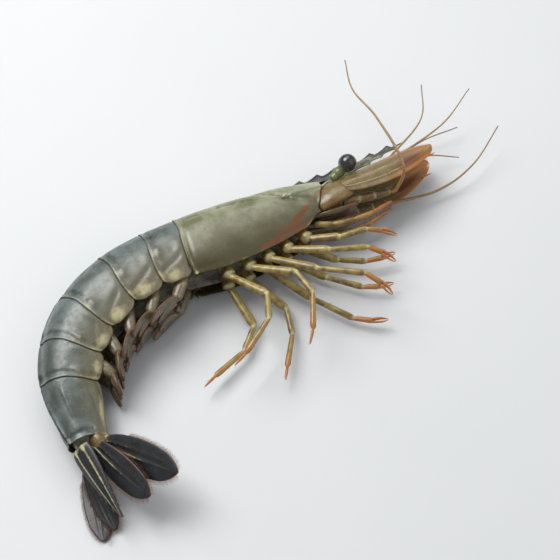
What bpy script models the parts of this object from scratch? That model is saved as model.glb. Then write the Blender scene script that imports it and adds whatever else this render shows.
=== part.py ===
"""Raw tiger prawn lying on its left flank, with its abdomen half curled.

The head points to +X, the back to +Y and the right flank up, to +Z. A place on the animal is
given by three body measures in metres: distance back along the body's axis from the eye socket,
height above the axis towards the back, and offset to the right of the middle plane. The body,
head limbs, walking legs, swimmerets and tail fan are separate closed solids, which keep a small
clearance to each other.
"""

from math import cos, exp, pi, radians, sin

import bmesh
import bpy
from mathutils import Vector

# Clearance along the curved margins of the shell, and between the abdomen and the tail fan.
SHELL_GAP = 0.0005
FAN_GAP = 0.0006

# Body axis: where it starts, and the length and bend of each stretch from head to tail.
EYE_SOCKET = Vector((0.024950, 0.015755, 0.0))
THORAX_LENGTH = 0.053
SEGMENT_LENGTHS = (0.0108, 0.0126, 0.0140, 0.0118, 0.0112, 0.0192)
SEGMENT_BENDS = (5.0, 13.0, 19.0, 20.0, 18.0, 15.0)
TAIL_LENGTH = 0.028
TAIL_BEND = 12.0
ABDOMEN_END = THORAX_LENGTH + sum(SEGMENT_LENGTHS)

# Height of the middle plane over the rest plane, and roll of the body, against distance.
LIE = (
    (0.000, 0.0096, 0.0),
    (0.075, 0.0096, 0.0),
    (0.100, 0.0088, 4.0),
    (0.114, 0.0079, 14.0),
    (ABDOMEN_END, 0.0069, 36.0),
    (ABDOMEN_END + TAIL_LENGTH, 0.0067, 56.0),
)

# Half sections against distance: height over the axis, depth under it, half width.
PROFILE = (
    (0.000, 0.0066, 0.0046, 0.0058),
    (0.008, 0.0084, 0.0070, 0.0075),
    (0.018, 0.0102, 0.0102, 0.0089),
    (0.032, 0.0115, 0.0126, 0.0099),
    (0.044, 0.0121, 0.0131, 0.0103),
    (0.053, 0.0120, 0.0120, 0.0101),
    (0.064, 0.0119, 0.0115, 0.0100),
    (0.076, 0.0120, 0.0114, 0.0099),
    (0.090, 0.0117, 0.0108, 0.0094),
    (0.102, 0.0106, 0.0095, 0.0085),
    (0.113, 0.0094, 0.0079, 0.0075),
    (ABDOMEN_END, 0.0062, 0.0050, 0.0052),
)
SIDE_FULLNESS = 0.85
EDGE_START = 0.75
CHANNEL_DEPTH = 0.36
CHANNEL_EDGES = (0.57, 0.73)
KEEL_HEIGHT = 0.0006
KEEL_SPREAD = 0.13
BODY_SIDES = 24
CARAPACE_RINGS = 14
SEGMENT_RINGS = 6

# Shell margins: slant of the carapace's front, and backward lobes of each rear margin.
FRONT_SLANT = 0.012
SOCKET_NOTCH = 0.0018
MARGIN_LOBES = (0.0016, 0.0018, 0.0022, 0.0022, 0.0019, 0.0012, 0.0004)
LIP = 0.00035
SCALLOP = 0.20

# Rostrum: the toothed blade on the carapace, in distance and height.
ROSTRUM_TIP = (-0.031, 0.0118)
ROSTRUM_ROOT = 0.022
ROSTRUM_HALF_THICKNESS = 0.0008
ROSTRUM_TAPER = 0.68
TOOTH_HEIGHT = 0.0014

# Heights of the blade's edges, and where its teeth stand, against the share from root to tip.
ROSTRUM_TOP = ((0.0, 0.0104), (0.4, 0.0102), (0.7, 0.0107), (1.0, ROSTRUM_TIP[1]))
ROSTRUM_FOOT = ((0.0, 0.0066), (0.4, 0.0058), (0.7, 0.0084), (1.0, ROSTRUM_TIP[1]))
TOP_TEETH = 7
TOP_TEETH_ENDS = (0.04, 0.90)
TOOTH_LEAN = 0.80
BOTTOM_TEETH = 3
BOTTOM_TEETH_ENDS = (0.93, 0.66)
BOTTOM_TOOTH_SHARE = 0.6
BOTTOM_TOOTH_REACH = 0.06
BOTTOM_STRAIGHT_START = 0.45

# Eyes: where the stalk starts and the globe sits on the right side, as body measures.
EYE_ROOT = (-0.0006, 0.0050, 0.0042)
EYE_CENTRE = (-0.0072, 0.0074, 0.0068)
EYE_RADIUS = 0.0031
EYE_STALK_RADIUS = 0.0016
EYE_STALK_LENGTH = 0.0035

# Head limbs of the right side: routes as (share, distance, height, offset), and their radii.
SCALE_ROUTE = ((0.0, -0.0018, 0.0000, 0.0064), (0.5, -0.0180, 0.0002, 0.0062), (1.0, -0.0362, 0.0036, 0.0044))
SCALE_LEAN = 20.0
SCALE_HALF_WIDTH = 0.0056
SCALE_HALF_DEPTH = 0.00065
ANTENNULE_ROUTE = ((0.0, 0.0010, 0.0016, 0.0021), (1.0, -0.0220, 0.0056, 0.0018))
ANTENNULE_RADII = (0.0015, 0.0014, 0.0011, 0.00135, 0.0010, 0.0012, 0.0009)
ANTENNA_BLOCK = ((0.0, 0.0058, -0.0038, 0.0037), (0.5, 0.0032, -0.0024, 0.0039), (1.0, 0.0, -0.0026, 0.0040))
ANTENNA_STALK = ((0.0, -0.0006, -0.0040, 0.0036), (1.0, -0.0160, -0.0064, 0.0036))
ANTENNA_RADII = (0.0022, 0.0026, 0.0025, 0.0016, 0.0018, 0.0015, 0.0017, 0.0013, 0.0011)
JAW_LEG_ROUTE = (
    (0.00, 0.0115, -0.0074, 0.0026),
    (0.33, 0.0040, -0.0106, 0.0030),
    (0.66, -0.0060, -0.0112, 0.0030),
    (1.00, -0.0155, -0.0092, 0.0022),
)
JAW_LEG_RADII = (0.0010, 0.0012, 0.0011, 0.0009, 0.0011, 0.0010, 0.0008, 0.0008, 0.0004)

# Whiskers of the right and the left side, and their radius at the root and the loss to the tip.
ANTENNULE_WHISKERS = {
    1: (
        ((0.0, -0.0235, 0.0080, 0.0024), (0.5, -0.0380, 0.0150, 0.0040), (1.0, -0.0450, 0.0280, 0.0040)),
        ((0.0, -0.0240, 0.0060, 0.0018), (0.5, -0.0440, 0.0110, 0.0030), (1.0, -0.0590, 0.0200, 0.0040)),
    ),
    -1: (
        ((0.0, -0.0235, 0.0080, -0.0024), (0.5, -0.0370, 0.0120, -0.0044), (1.0, -0.0520, 0.0130, -0.0054)),
        ((0.0, -0.0240, 0.0058, -0.0018), (0.5, -0.0360, 0.0060, -0.0040), (1.0, -0.0470, 0.0020, -0.0060)),
    ),
}
ANTENNA_WHISKERS = {
    1: (
        (0.00, -0.0178, -0.0072, 0.0046),
        (0.22, -0.0212, -0.0046, 0.0128),
        (0.50, -0.0205, 0.0140, 0.0160),
        (0.75, -0.0190, 0.0290, 0.0140),
        (1.00, -0.0235, 0.0440, 0.0100),
    ),
    -1: (
        (0.00, -0.0180, -0.0068, -0.0036),
        (0.35, -0.0340, -0.0075, -0.0050),
        (0.70, -0.0490, -0.0040, -0.0030),
        (1.00, -0.0620, 0.0040, 0.0010),
    ),
}
ANTENNULE_WHISKER_RADII = (0.00052, 0.00030)
ANTENNA_WHISKER_RADII = (0.00065, 0.00037)

# Leaf outlines: share of the full width against share of the length.
SCALE_OUTLINE = ((0.0, 0.58), (0.12, 0.80), (0.35, 1.0), (0.65, 0.96), (0.88, 0.66), (1.0, 0.16))
PADDLE_OUTLINE = ((0.0, 0.45), (0.2, 0.8), (0.5, 1.0), (0.8, 0.86), (0.95, 0.5), (1.0, 0.2))
TELSON_OUTLINE = ((0.0, 0.86), (0.12, 1.0), (0.45, 0.80), (0.80, 0.36), (1.0, 0.07))

# Walking legs: lengths of their five parts, and each part's swing towards the head in degrees.
LEG_ROOTS = (0.0175, 0.0240, 0.0305, 0.0370, 0.0435)
LEG_LENGTHS = (
    (0.005, 0.010, 0.009, 0.005, 0.005),
    (0.005, 0.013, 0.012, 0.005, 0.005),
    (0.005, 0.016, 0.015, 0.006, 0.005),
    (0.005, 0.015, 0.009, 0.012, 0.005),
    (0.005, 0.015, 0.009, 0.013, 0.005),
)
LEG_SWINGS = {
    1: (
        (24.0, 62.0, 82.0, 66.0, 54.0),
        (16.0, 57.0, 68.0, 48.0, 32.0),
        (12.0, 44.0, 57.0, 34.0, 20.0),
        (8.0, 50.0, 10.0, -24.0, -36.0),
        (-4.0, 30.0, -20.0, -56.0, -68.0),
    ),
    -1: (
        (22.0, 52.0, 64.0, 78.0, 86.0),
        (14.0, 44.0, 50.0, 66.0, 76.0),
        (6.0, 33.0, 38.0, 56.0, 66.0),
        (2.0, 26.0, -12.0, -32.0, -30.0),
        (-8.0, 8.0, -42.0, -68.0, -62.0),
    ),
}
LEG_SPREADS = {1: (6.0, 14.0, 4.0, -8.0, -14.0), -1: (3.0, 8.0, 2.0, -4.0, -8.0)}
LEG_RADII = (0.0019, 0.0012, 0.0009, 0.0008, 0.00045)
LEG_FLATNESS = 0.85
LEG_OFFSET = 0.0033
COXA_DEPTH = 0.0013
CLAW_TAPER = 0.3
PINCER_LEGS = 3
PINCER_SPLAY = 0.0009
PINCER_RADII = (0.00055, 0.00020)

# Swimmerets: stalk and paddle, and how far they sweep back from straight down.
SWIMMERET_STALKS = (0.0078, 0.0077, 0.0070, 0.0062, 0.0054)
SWIMMERET_PADDLES = (0.0114, 0.0096, 0.0090, 0.0080, 0.0072)
STALK_SWEEPS = (40.0, 40.0, 38.0, 36.0, 38.0)
PADDLE_SWEEPS = (67.0, 66.0, 63.0, 62.0, 66.0)
STALK_SPREAD = 2.0
PADDLE_SPREAD = 5.0
STALK_SIZES = ((0.0017, 0.0015), (0.0023, 0.0019), (0.0019, 0.0013))
PADDLE_HALF_WIDTH = 0.0031
PADDLE_HALF_DEPTHS = (0.0009, 0.0004)
PADDLE_ARCH = 0.0012
SWIMMERET_PLACE = 0.46
SWIMMERET_OFFSET = 0.0046
SWIMMERET_NARROWING = 0.07
SWIMMERET_DEPTH = 0.0024

# Tail fan leaves: root height and offset, yaw on the right and the left, droop, length, half sizes.
TELSON = (0.0036, 0.0, 0.0, 0.0, 0.0010, 0.0255, 0.0040, 0.0013)
INNER_UROPOD = (0.0006, 0.0024, 15.0, -13.0, 0.0016, 0.0255, 0.0046, 0.0006)
OUTER_UROPOD = (-0.0020, 0.0030, 34.0, -28.0, 0.0014, 0.0285, 0.0054, 0.0006)
FAN_FACING = 0.6

# Colours, linear RGB, and roughness.
FINISHES = {
    "carapace_shell": ((0.190, 0.235, 0.170, 1.0), 0.28),
    "abdomen_shell": ((0.195, 0.265, 0.270, 1.0), 0.26),
    "eye_black": ((0.006, 0.008, 0.012, 1.0), 0.12),
    "scale_olive": ((0.380, 0.360, 0.160, 1.0), 0.34),
    "whisker_brown": ((0.200, 0.120, 0.070, 1.0), 0.42),
    "leg_straw": ((0.480, 0.420, 0.180, 1.0), 0.36),
    "swimmeret_rust": ((0.420, 0.180, 0.080, 1.0), 0.38),
    "tail_navy": ((0.016, 0.020, 0.036, 1.0), 0.30),
}


# ---------------------------------------------------------------- measures along the body

def smooth_row(rows, x):
    """Reads a table of (x, value, ...) rows at x, on smooth curves through the rows."""
    x = min(max(x, rows[0][0]), rows[-1][0])
    right = next(index for index in range(1, len(rows)) if x <= rows[index][0])
    left = right - 1
    span = rows[right][0] - rows[left][0]
    t = (x - rows[left][0]) / span

    def slope(index, column):
        before = rows[max(index - 1, 0)]
        after = rows[min(index + 1, len(rows) - 1)]
        return (after[column] - before[column]) / (after[0] - before[0]) * span

    values = []
    for column in range(1, len(rows[0])):
        start, end = rows[left][column], rows[right][column]
        values.append(
            start * (2 * t**3 - 3 * t**2 + 1)
            + slope(left, column) * (t**3 - 2 * t**2 + t)
            + end * (3 * t**2 - 2 * t**3)
            + slope(right, column) * (t**3 - t**2)
        )
    return values


def axis_stretches():
    """Start distance, start heading, bend per metre and start point of each stretch."""
    lengths = (THORAX_LENGTH,) + SEGMENT_LENGTHS + (TAIL_LENGTH,)
    bends = (0.0,) + SEGMENT_BENDS + (TAIL_BEND,)
    stretches = []
    distance, heading, point = 0.0, 0.0, EYE_SOCKET.copy()
    for length, bend in zip(lengths, bends):
        rate = radians(bend) / length
        stretches.append((distance, heading, rate, point.copy()))
        point += travel(heading, rate, length)
        heading += radians(bend)
        distance += length
    return stretches


def travel(heading, rate, length):
    """Way covered along an arc that starts at a heading, where heading 0 leads to -X."""
    if rate == 0.0:
        return Vector((-cos(heading), -sin(heading), 0.0)) * length
    end = heading + rate * length
    return Vector((sin(heading) - sin(end), cos(end) - cos(heading), 0.0)) / rate


STRETCHES = axis_stretches()
UP = Vector((0.0, 0.0, 1.0))
BACKWARD = Vector((0.0, 1.0, 0.0))


def body_frame(distance):
    """Point on the axis and the tailward, dorsal and right directions there."""
    start, heading, rate, point = [row for row in STRETCHES if row[0] <= max(distance, 0.0)][-1]
    height, roll = smooth_row(LIE, distance)
    turned = heading + rate * (distance - start)
    point = point + travel(heading, rate, distance - start)
    point.z = height
    tailward = Vector((-cos(turned), -sin(turned), 0.0))
    dorsal = Vector((-sin(turned), cos(turned), 0.0))
    rolled = radians(roll)
    back = dorsal * cos(rolled) + UP * sin(rolled)
    return point, tailward, back, UP * cos(rolled) - dorsal * sin(rolled)


def body_point(distance, height, offset):
    """World place of a point given by its three body measures."""
    point, _, dorsal, right = body_frame(distance)
    return point + dorsal * height + right * offset


def settle(point):
    """Lets a soft part that would sink under the rest plane lie on it instead."""
    cushion = 0.0022
    if point.z < cushion:
        point = point.copy()
        point.z = cushion * exp((point.z - cushion) / cushion)
    return point


def fade(value, low, high):
    """Smooth step from 1 below the low value to 0 above the high one."""
    t = min(max((value - low) / (high - low), 0.0), 1.0)
    return 1.0 - t * t * (3.0 - 2.0 * t)


def hump(value, centre, reach):
    """Rounded bump of height 1 at its centre and 0 beyond its reach."""
    t = (value - centre) / reach
    return max(0.0, 1.0 - t * t) ** 2


def section(distance, angle, proud=0.0, lift=0.0):
    """Height and offset of the body's skin at an angle from the back's middle."""
    above, below, half_width = smooth_row(PROFILE, distance)
    side, up = sin(angle), cos(angle)
    breadth = abs(side) ** SIDE_FULLNESS
    offset = (half_width + proud) * breadth * (1.0 if side > 0.0 else -1.0)
    if up > 0.0:
        turned = min(angle, 2.0 * pi - angle)
        height = (above + proud) * up**0.95 + KEEL_HEIGHT * exp(-((turned / KEEL_SPREAD) ** 2))
    else:
        height = -(below + proud - lift) * min(1.0, (-up / EDGE_START) ** 0.8)
        height += (CHANNEL_DEPTH * below - lift) * fade(breadth, *CHANNEL_EDGES)
    return height, offset


def channel_height(distance):
    """Height of the floor of the channel between the shell's lower edges."""
    below = smooth_row(PROFILE, distance)[1]
    return -below * (1.0 - CHANNEL_DEPTH)


# ---------------------------------------------------------------- mesh tools

def ring_edges(vertices):
    """Edges whose two ends are both in a set of vertices."""
    chosen = set(vertices)
    edges = {edge for vertex in chosen for edge in vertex.link_edges}
    return [edge for edge in edges if all(end in chosen for end in edge.verts)]


def loft(bm, sides, stations, place):
    """Tube through the stations; place(station, index) gives each vertex. Returns the end cap."""
    around = bm.verts.layers.int.new("around")
    vertices = bmesh.ops.create_circle(bm, segments=sides, radius=1.0)["verts"]
    for index, vertex in enumerate(vertices):
        vertex[around] = index
        vertex.co = place(stations[0], index)
    first = ring_edges(vertices)
    edges = first
    for station in stations[1:]:
        grown = bmesh.ops.extrude_edge_only(bm, edges=edges)["geom"]
        vertices = [item for item in grown if isinstance(item, bmesh.types.BMVert)]
        for vertex in vertices:
            vertex.co = place(station, vertex[around])
        edges = ring_edges(vertices)
    bmesh.ops.edgeloop_fill(bm, edges=first)
    return bmesh.ops.edgeloop_fill(bm, edges=edges)["faces"][0]


def headings(path):
    """Direction of a path at each of its points."""
    steps = [(after - before).normalized() for before, after in zip(path, path[1:])]
    middle = [(before + after).normalized() for before, after in zip(steps, steps[1:])]
    return [steps[0]] + middle + [steps[-1]]


def sweep(bm, path, sizes, across, sides):
    """Oval tube along a path; sizes are its half width along `across` and its half depth."""
    ways = headings(path)

    def place(station, index):
        way = ways[station]
        wide = (across - way * across.dot(way)).normalized()
        deep = way.cross(wide)
        angle = 2.0 * pi * index / sides
        half_width, half_depth = sizes[station]
        return settle(path[station] + wide * half_width * cos(angle) + deep * half_depth * sin(angle))

    return loft(bm, sides, range(len(path)), place)


def split_cap(bm, cap, first):
    """Divides an end cap in two across its vertices number `first` and the opposite one."""
    around = bm.verts.layers.int.get("around")
    count = len(cap.verts)
    ends = [vertex for vertex in cap.verts if vertex[around] % (count // 2) == first]
    edge = bmesh.ops.connect_verts(bm, verts=ends)["edges"][0]
    return list(edge.link_faces)


def grow(bm, face, path, radii):
    """Extrudes a face along a path, turned and scaled to each point's direction and radius."""
    centre = face.calc_center_median()
    way = (path[0] - centre).normalized()
    size = max((vertex.co - centre).length for vertex in face.verts)
    ways = headings([centre] + path)[1:]
    for target, new_way, radius in zip(path, ways, radii):
        face = bmesh.ops.extrude_discrete_faces(bm, faces=[face])["faces"][0]
        centre = face.calc_center_median()
        turn = way.rotation_difference(new_way).to_matrix() * (radius / size)
        for vertex in face.verts:
            vertex.co = settle(target + turn @ (vertex.co - centre))
        way, size = new_way, radius


def finish(name, bm, finish_name, poke_caps=False):
    """Closes the mesh's work: caps, outward faces, shading, object and material."""
    if poke_caps:
        caps = [face for face in bm.faces if len(face.verts) > 6]
        bmesh.ops.poke(bm, faces=caps)
    bmesh.ops.recalc_face_normals(bm, faces=bm.faces)
    mesh = bpy.data.meshes.new(name)
    bm.to_mesh(mesh)
    bm.free()
    mesh.shade_smooth()
    mesh.set_sharp_from_angle(angle=radians(42.0))
    mesh.materials.append(material(finish_name))
    piece = bpy.data.objects.new(name, mesh)
    bpy.context.scene.collection.objects.link(piece)
    return piece


def material(name):
    """The finish of a kind of piece, made once."""
    if name in bpy.data.materials:
        return bpy.data.materials[name]
    colour, roughness = FINISHES[name]
    made = bpy.data.materials.new(name)
    made.use_nodes = True
    shader = made.node_tree.nodes["Principled BSDF"]
    shader.inputs["Base Color"].default_value = colour
    shader.inputs["Roughness"].default_value = roughness
    shader.inputs["Metallic"].default_value = 0.0
    return made


# ---------------------------------------------------------------- shell

def margin(number, angle):
    """Distance of the rear margin of shell `number` (0 is the carapace) at an angle."""
    around = min(angle, 2.0 * pi - angle) / pi
    lobe = MARGIN_LOBES[number] * hump(around, 0.66, 0.30)
    return THORAX_LENGTH + sum(SEGMENT_LENGTHS[:number]) + lobe


def front_margin(angle):
    """Distance of the carapace's front margin, slanted back below and notched for the eye."""
    around = min(angle, 2.0 * pi - angle) / pi
    return FRONT_SLANT * (1.0 - cos(angle)) / 2.0 + SOCKET_NOTCH * hump(around, 0.27, 0.14)


def shell_ring(share, angle, front, rear, scallops):
    """Skin point of a shell at a share of its length between its front and rear margins."""
    distance = front(angle) * (1.0 - share) + rear(angle) * share
    proud = LIP * (share**3 - 0.6 * (1.0 - share) ** 3)
    lift = scallops[0 if share < 0.5 else 1] * (2.0 * share - 1.0) ** 4
    lift *= smooth_row(PROFILE, distance)[1]
    height, offset = section(distance, angle, proud, lift)
    point = body_point(distance, height, offset)
    point.z = max(point.z, 0.0)
    return point


def shell(name, finish_name, front, rear, rings, scallops):
    """Closed piece of the body between two margins."""
    bm = bmesh.new()
    shares = [index / (rings - 1) for index in range(rings)]

    def place(share, index):
        return shell_ring(share, 2.0 * pi * index / BODY_SIDES, front, rear, scallops)

    loft(bm, BODY_SIDES, shares, place)
    return finish(name, bm, finish_name, poke_caps=True)


def rostrum_point(share, heights, raised=0.0):
    """Distance and height of a point on an edge of the blade, from its root to its tip."""
    distance = ROSTRUM_ROOT + (ROSTRUM_TIP[0] - ROSTRUM_ROOT) * share
    return distance, smooth_row(heights, share)[0] + raised


def rostrum_outline():
    """Side outline of the blade: saw teeth above, smaller ones below."""
    outline = []
    start, end = TOP_TEETH_ENDS
    step = (end - start) / TOP_TEETH
    for tooth in range(TOP_TEETH):
        outline.append(rostrum_point(start + tooth * step, ROSTRUM_TOP))
        outline.append(rostrum_point(start + (tooth + TOOTH_LEAN) * step, ROSTRUM_TOP, TOOTH_HEIGHT))
    outline.append(rostrum_point(end, ROSTRUM_TOP))
    outline.append(ROSTRUM_TIP)
    start, end = BOTTOM_TEETH_ENDS
    step = (end - start) / BOTTOM_TEETH
    for tooth in range(BOTTOM_TEETH):
        share = start + tooth * step
        outline.append(rostrum_point(share, ROSTRUM_FOOT, -BOTTOM_TOOTH_SHARE * TOOTH_HEIGHT))
        outline.append(rostrum_point(share - BOTTOM_TOOTH_REACH, ROSTRUM_FOOT))
    outline.append(rostrum_point(BOTTOM_STRAIGHT_START, ROSTRUM_FOOT))
    outline.append(rostrum_point(TOP_TEETH_ENDS[0], ROSTRUM_FOOT))
    return outline


def rostrum():
    """The blade as a guide body that is joined to the carapace."""
    bm = bmesh.new()
    corners = [bm.verts.new(body_point(distance, height, 0.0)) for distance, height in rostrum_outline()]
    face = bm.faces.new(corners)
    grown = bmesh.ops.extrude_face_region(bm, geom=[face])["geom"]
    far = {item for item in grown if isinstance(item, bmesh.types.BMVert)}
    tip = body_point(*ROSTRUM_TIP, 0.0).x
    root = body_point(ROSTRUM_ROOT, 0.0, 0.0).x
    for vertex in bm.verts:
        share = (vertex.co.x - root) / (tip - root)
        half = ROSTRUM_HALF_THICKNESS * 1.25 * (1.0 - ROSTRUM_TAPER * share)
        vertex.co.z += half if vertex in far else -half
    blade = finish("rostrum_guide", bm, "carapace_shell")
    blade.hide_render = True
    blade.display_type = "WIRE"
    return blade


def carapace():
    """Head and chest shell with its rostrum."""
    def rear(angle):
        return margin(0, angle)

    piece = shell("carapace", "carapace_shell", front_margin, rear, CARAPACE_RINGS, (0.0, SCALLOP))
    joined = piece.modifiers.new("rostrum", "BOOLEAN")
    joined.operation = "UNION"
    joined.solver = "EXACT"
    joined.object = rostrum()


def abdomen():
    """Six shell segments, each behind the last one's margin."""
    for number in range(1, 7):
        last = number == 6
        shell(
            f"abdomen_{number}",
            "abdomen_shell",
            lambda angle, number=number: margin(number - 1, angle) + SHELL_GAP,
            lambda angle, number=number: margin(number, angle),
            SEGMENT_RINGS + (1 if last else 0),
            (SCALLOP, 0.0 if last else SCALLOP),
        )


# ---------------------------------------------------------------- head limbs

def path_through(rows, count):
    """Points of a smooth curve through (share, distance, height, offset) rows."""
    return [body_point(*smooth_row(rows, index / (count - 1))) for index in range(count)]


SIDES = ((1, "right"), (-1, "left"))


def mirrored(rows, side):
    """Rows of a path on the right, moved to the left where the side is -1."""
    return [(share, distance, height, side * offset) for share, distance, height, offset in rows]


def eye(side, name):
    """Stalk and round eye."""
    root = body_point(EYE_ROOT[0], EYE_ROOT[1], side * EYE_ROOT[2])
    globe = body_point(EYE_CENTRE[0], EYE_CENTRE[1], side * EYE_CENTRE[2])
    way = (globe - root).normalized()
    path = [root, root + way * EYE_STALK_LENGTH, globe - way * EYE_RADIUS * 1.15]
    radii = [EYE_STALK_RADIUS * 0.8, EYE_STALK_RADIUS, EYE_STALK_RADIUS * 1.05]
    steps = 6
    for step in range(1, steps + 1):
        angle = pi * (0.12 + 0.83 * step / steps)
        path.append(globe - way * EYE_RADIUS * cos(angle))
        radii.append(EYE_RADIUS * sin(angle))
    bm = bmesh.new()
    sweep(bm, path, [(radius, radius) for radius in radii], BACKWARD, 12)
    finish(name, bm, "eye_black")


def leaf(bm, path, across, half_width, half_depth, outline, sides=8):
    """Flat leaf along a path; its outline gives the width at each share of the length."""
    last = len(path) - 1
    sizes = []
    for index in range(len(path)):
        width = smooth_row(outline, index / last)[0]
        sizes.append((half_width * width, half_depth * (0.45 + 0.55 * width)))
    return sweep(bm, path, sizes, across, sides)


def antennal_scale(side, name):
    """Broad plate beside the rostrum, sloped like a roof."""
    _, _, dorsal, right = body_frame(0.0)
    across = dorsal * cos(radians(SCALE_LEAN)) - right * side * sin(radians(SCALE_LEAN))
    path = path_through(mirrored(SCALE_ROUTE, side), 9)
    bm = bmesh.new()
    leaf(bm, path, across, SCALE_HALF_WIDTH, SCALE_HALF_DEPTH, SCALE_OUTLINE)
    finish(name, bm, "scale_olive")


def taper(radii, count):
    """Radii of a whisker that thins from its root by the given loss."""
    start, loss = radii
    return [start - loss * index / (count - 1) for index in range(count)]


def antennule(side, name):
    """Three-part stalk above the scales, forked into two whiskers."""
    path = path_through(mirrored(ANTENNULE_ROUTE, side), len(ANTENNULE_RADII))
    bm = bmesh.new()
    cap = sweep(bm, path, [(radius, radius) for radius in ANTENNULE_RADII], BACKWARD, 8)
    halves = split_cap(bm, cap, 2)
    halves.sort(key=lambda face: -face.calc_center_median().y)
    for half, route in zip(halves, ANTENNULE_WHISKERS[side]):
        grow(bm, half, path_through(route, 9), taper(ANTENNULE_WHISKER_RADII, 9))
    finish(name, bm, "whisker_brown")


def antenna(side, name):
    """Stout stalk under the scale, and one long whisker."""
    block = path_through(mirrored(ANTENNA_BLOCK, side), 3)
    path = block + path_through(mirrored(ANTENNA_STALK, side), len(ANTENNA_RADII) - len(block))
    bm = bmesh.new()
    cap = sweep(bm, path, [(radius, radius) for radius in ANTENNA_RADII], BACKWARD, 8)
    grow(bm, cap, path_through(ANTENNA_WHISKERS[side], 12), taper(ANTENNA_WHISKER_RADII, 12))
    finish(name, bm, "whisker_brown")


def head_limbs():
    """Eyes, scales, antennules and antennae of both sides."""
    for side, word in SIDES:
        eye(side, f"eye_{word}")
        antennal_scale(side, f"antennal_scale_{word}")
        antennule(side, f"antennule_{word}")
        antenna(side, f"antenna_{word}")


# ---------------------------------------------------------------- legs and swimmerets

def swing_way(distance, swing, spread, side):
    """Direction of a limb part that hangs from the belly, swung to the head and spread out."""
    _, tailward, dorsal, right = body_frame(distance)
    hang = -dorsal * cos(radians(swing)) - tailward * sin(radians(swing))
    return hang * cos(radians(spread)) + right * side * sin(radians(spread))


def limb_path(root, distance, side, lengths, swings, spreads):
    """Joint points of a limb, from its root."""
    joints = [root]
    for length, swing, spread in zip(lengths, swings, spreads):
        joints.append(joints[-1] + swing_way(distance, swing, spread, side) * length)
    return joints


def jointed(joints, radii):
    """Points and radii of a limb that is full along its parts and narrow at its joints."""
    path, sizes = [joints[0]], [radii[0] * 0.8]
    for index, (start, end) in enumerate(zip(joints, joints[1:])):
        radius = radii[index]
        after = radii[min(index + 1, len(radii) - 1)]
        path += [start.lerp(end, 0.16), start.lerp(end, 0.84), end]
        sizes += [radius, radius * 0.92, (radius + after) * 0.36]
    return path, sizes


def leg(number, side, name):
    """Walking leg: the first three end in pincers, the last two in a point."""
    distance = LEG_ROOTS[number]
    root = body_point(distance, channel_height(distance) - COXA_DEPTH, side * LEG_OFFSET)
    swings = LEG_SWINGS[side][number]
    joints = limb_path(root, distance, side, LEG_LENGTHS[number], swings, LEG_SPREADS[side])
    pincer = number < PINCER_LEGS
    ends = joints[:-1] if pincer else joints
    path, sizes = jointed(ends, LEG_RADII)
    sizes[-1] = LEG_RADII[3] * (1.0 if pincer else CLAW_TAPER)
    bm = bmesh.new()
    cap = sweep(bm, path, [(size * LEG_FLATNESS, size) for size in sizes], UP, 6)
    if pincer:
        wrist = joints[-2]
        reach = joints[-1] - wrist
        splay = reach.cross(UP).normalized() * PINCER_SPLAY
        halves = split_cap(bm, cap, 0)
        halves.sort(key=lambda face: (face.calc_center_median() - wrist).dot(splay))
        for half, way in zip(halves, (-splay, splay)):
            fingers = [wrist + reach * 0.55 + way, wrist + reach + way * 0.45]
            grow(bm, half, fingers, PINCER_RADII)
    finish(name, bm, "leg_straw")


def jaw_leg(side, name):
    """Third jaw leg, which lies forward under the head."""
    path = path_through(mirrored(JAW_LEG_ROUTE, side), len(JAW_LEG_RADII))
    bm = bmesh.new()
    sweep(bm, path, [(radius, radius) for radius in JAW_LEG_RADII], UP, 6)
    finish(name, bm, "leg_straw")


def swimmeret(number, side, name):
    """Stout stalk and flat paddle under an abdomen segment."""
    start = THORAX_LENGTH + sum(SEGMENT_LENGTHS[:number])
    distance = start + SEGMENT_LENGTHS[number] * SWIMMERET_PLACE
    offset = side * SWIMMERET_OFFSET * (1.0 - SWIMMERET_NARROWING * number)
    root = body_point(distance, channel_height(distance) - SWIMMERET_DEPTH, offset)
    stalk = swing_way(distance, -STALK_SWEEPS[number], STALK_SPREAD, side)
    paddle = swing_way(distance, -PADDLE_SWEEPS[number], PADDLE_SPREAD, side)
    knee = root + stalk * SWIMMERET_STALKS[number]
    tip = knee + paddle * SWIMMERET_PADDLES[number]
    path = [root, root.lerp(knee, 0.35), root.lerp(knee, 0.85)]
    sizes = list(STALK_SIZES)
    thick, thin = PADDLE_HALF_DEPTHS
    for index in range(7):
        share = index / 6
        width = PADDLE_HALF_WIDTH * smooth_row(PADDLE_OUTLINE, share)[0]
        path.append(knee.lerp(tip, 0.04 + 0.96 * share) - stalk * PADDLE_ARCH * sin(pi * share))
        sizes.append((width, thick + (thin - thick) * share))
    bm = bmesh.new()
    sweep(bm, path, sizes, body_frame(distance)[3], 8)
    finish(name, bm, "swimmeret_rust")


def under_limbs():
    """Jaw legs, walking legs and swimmerets of both sides."""
    for side, word in SIDES:
        jaw_leg(side, f"jaw_leg_{word}")
        for number in range(5):
            leg(number, side, f"leg_{number + 1}_{word}")
            swimmeret(number, side, f"swimmeret_{number + 1}_{word}")


# ---------------------------------------------------------------- tail fan

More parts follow.
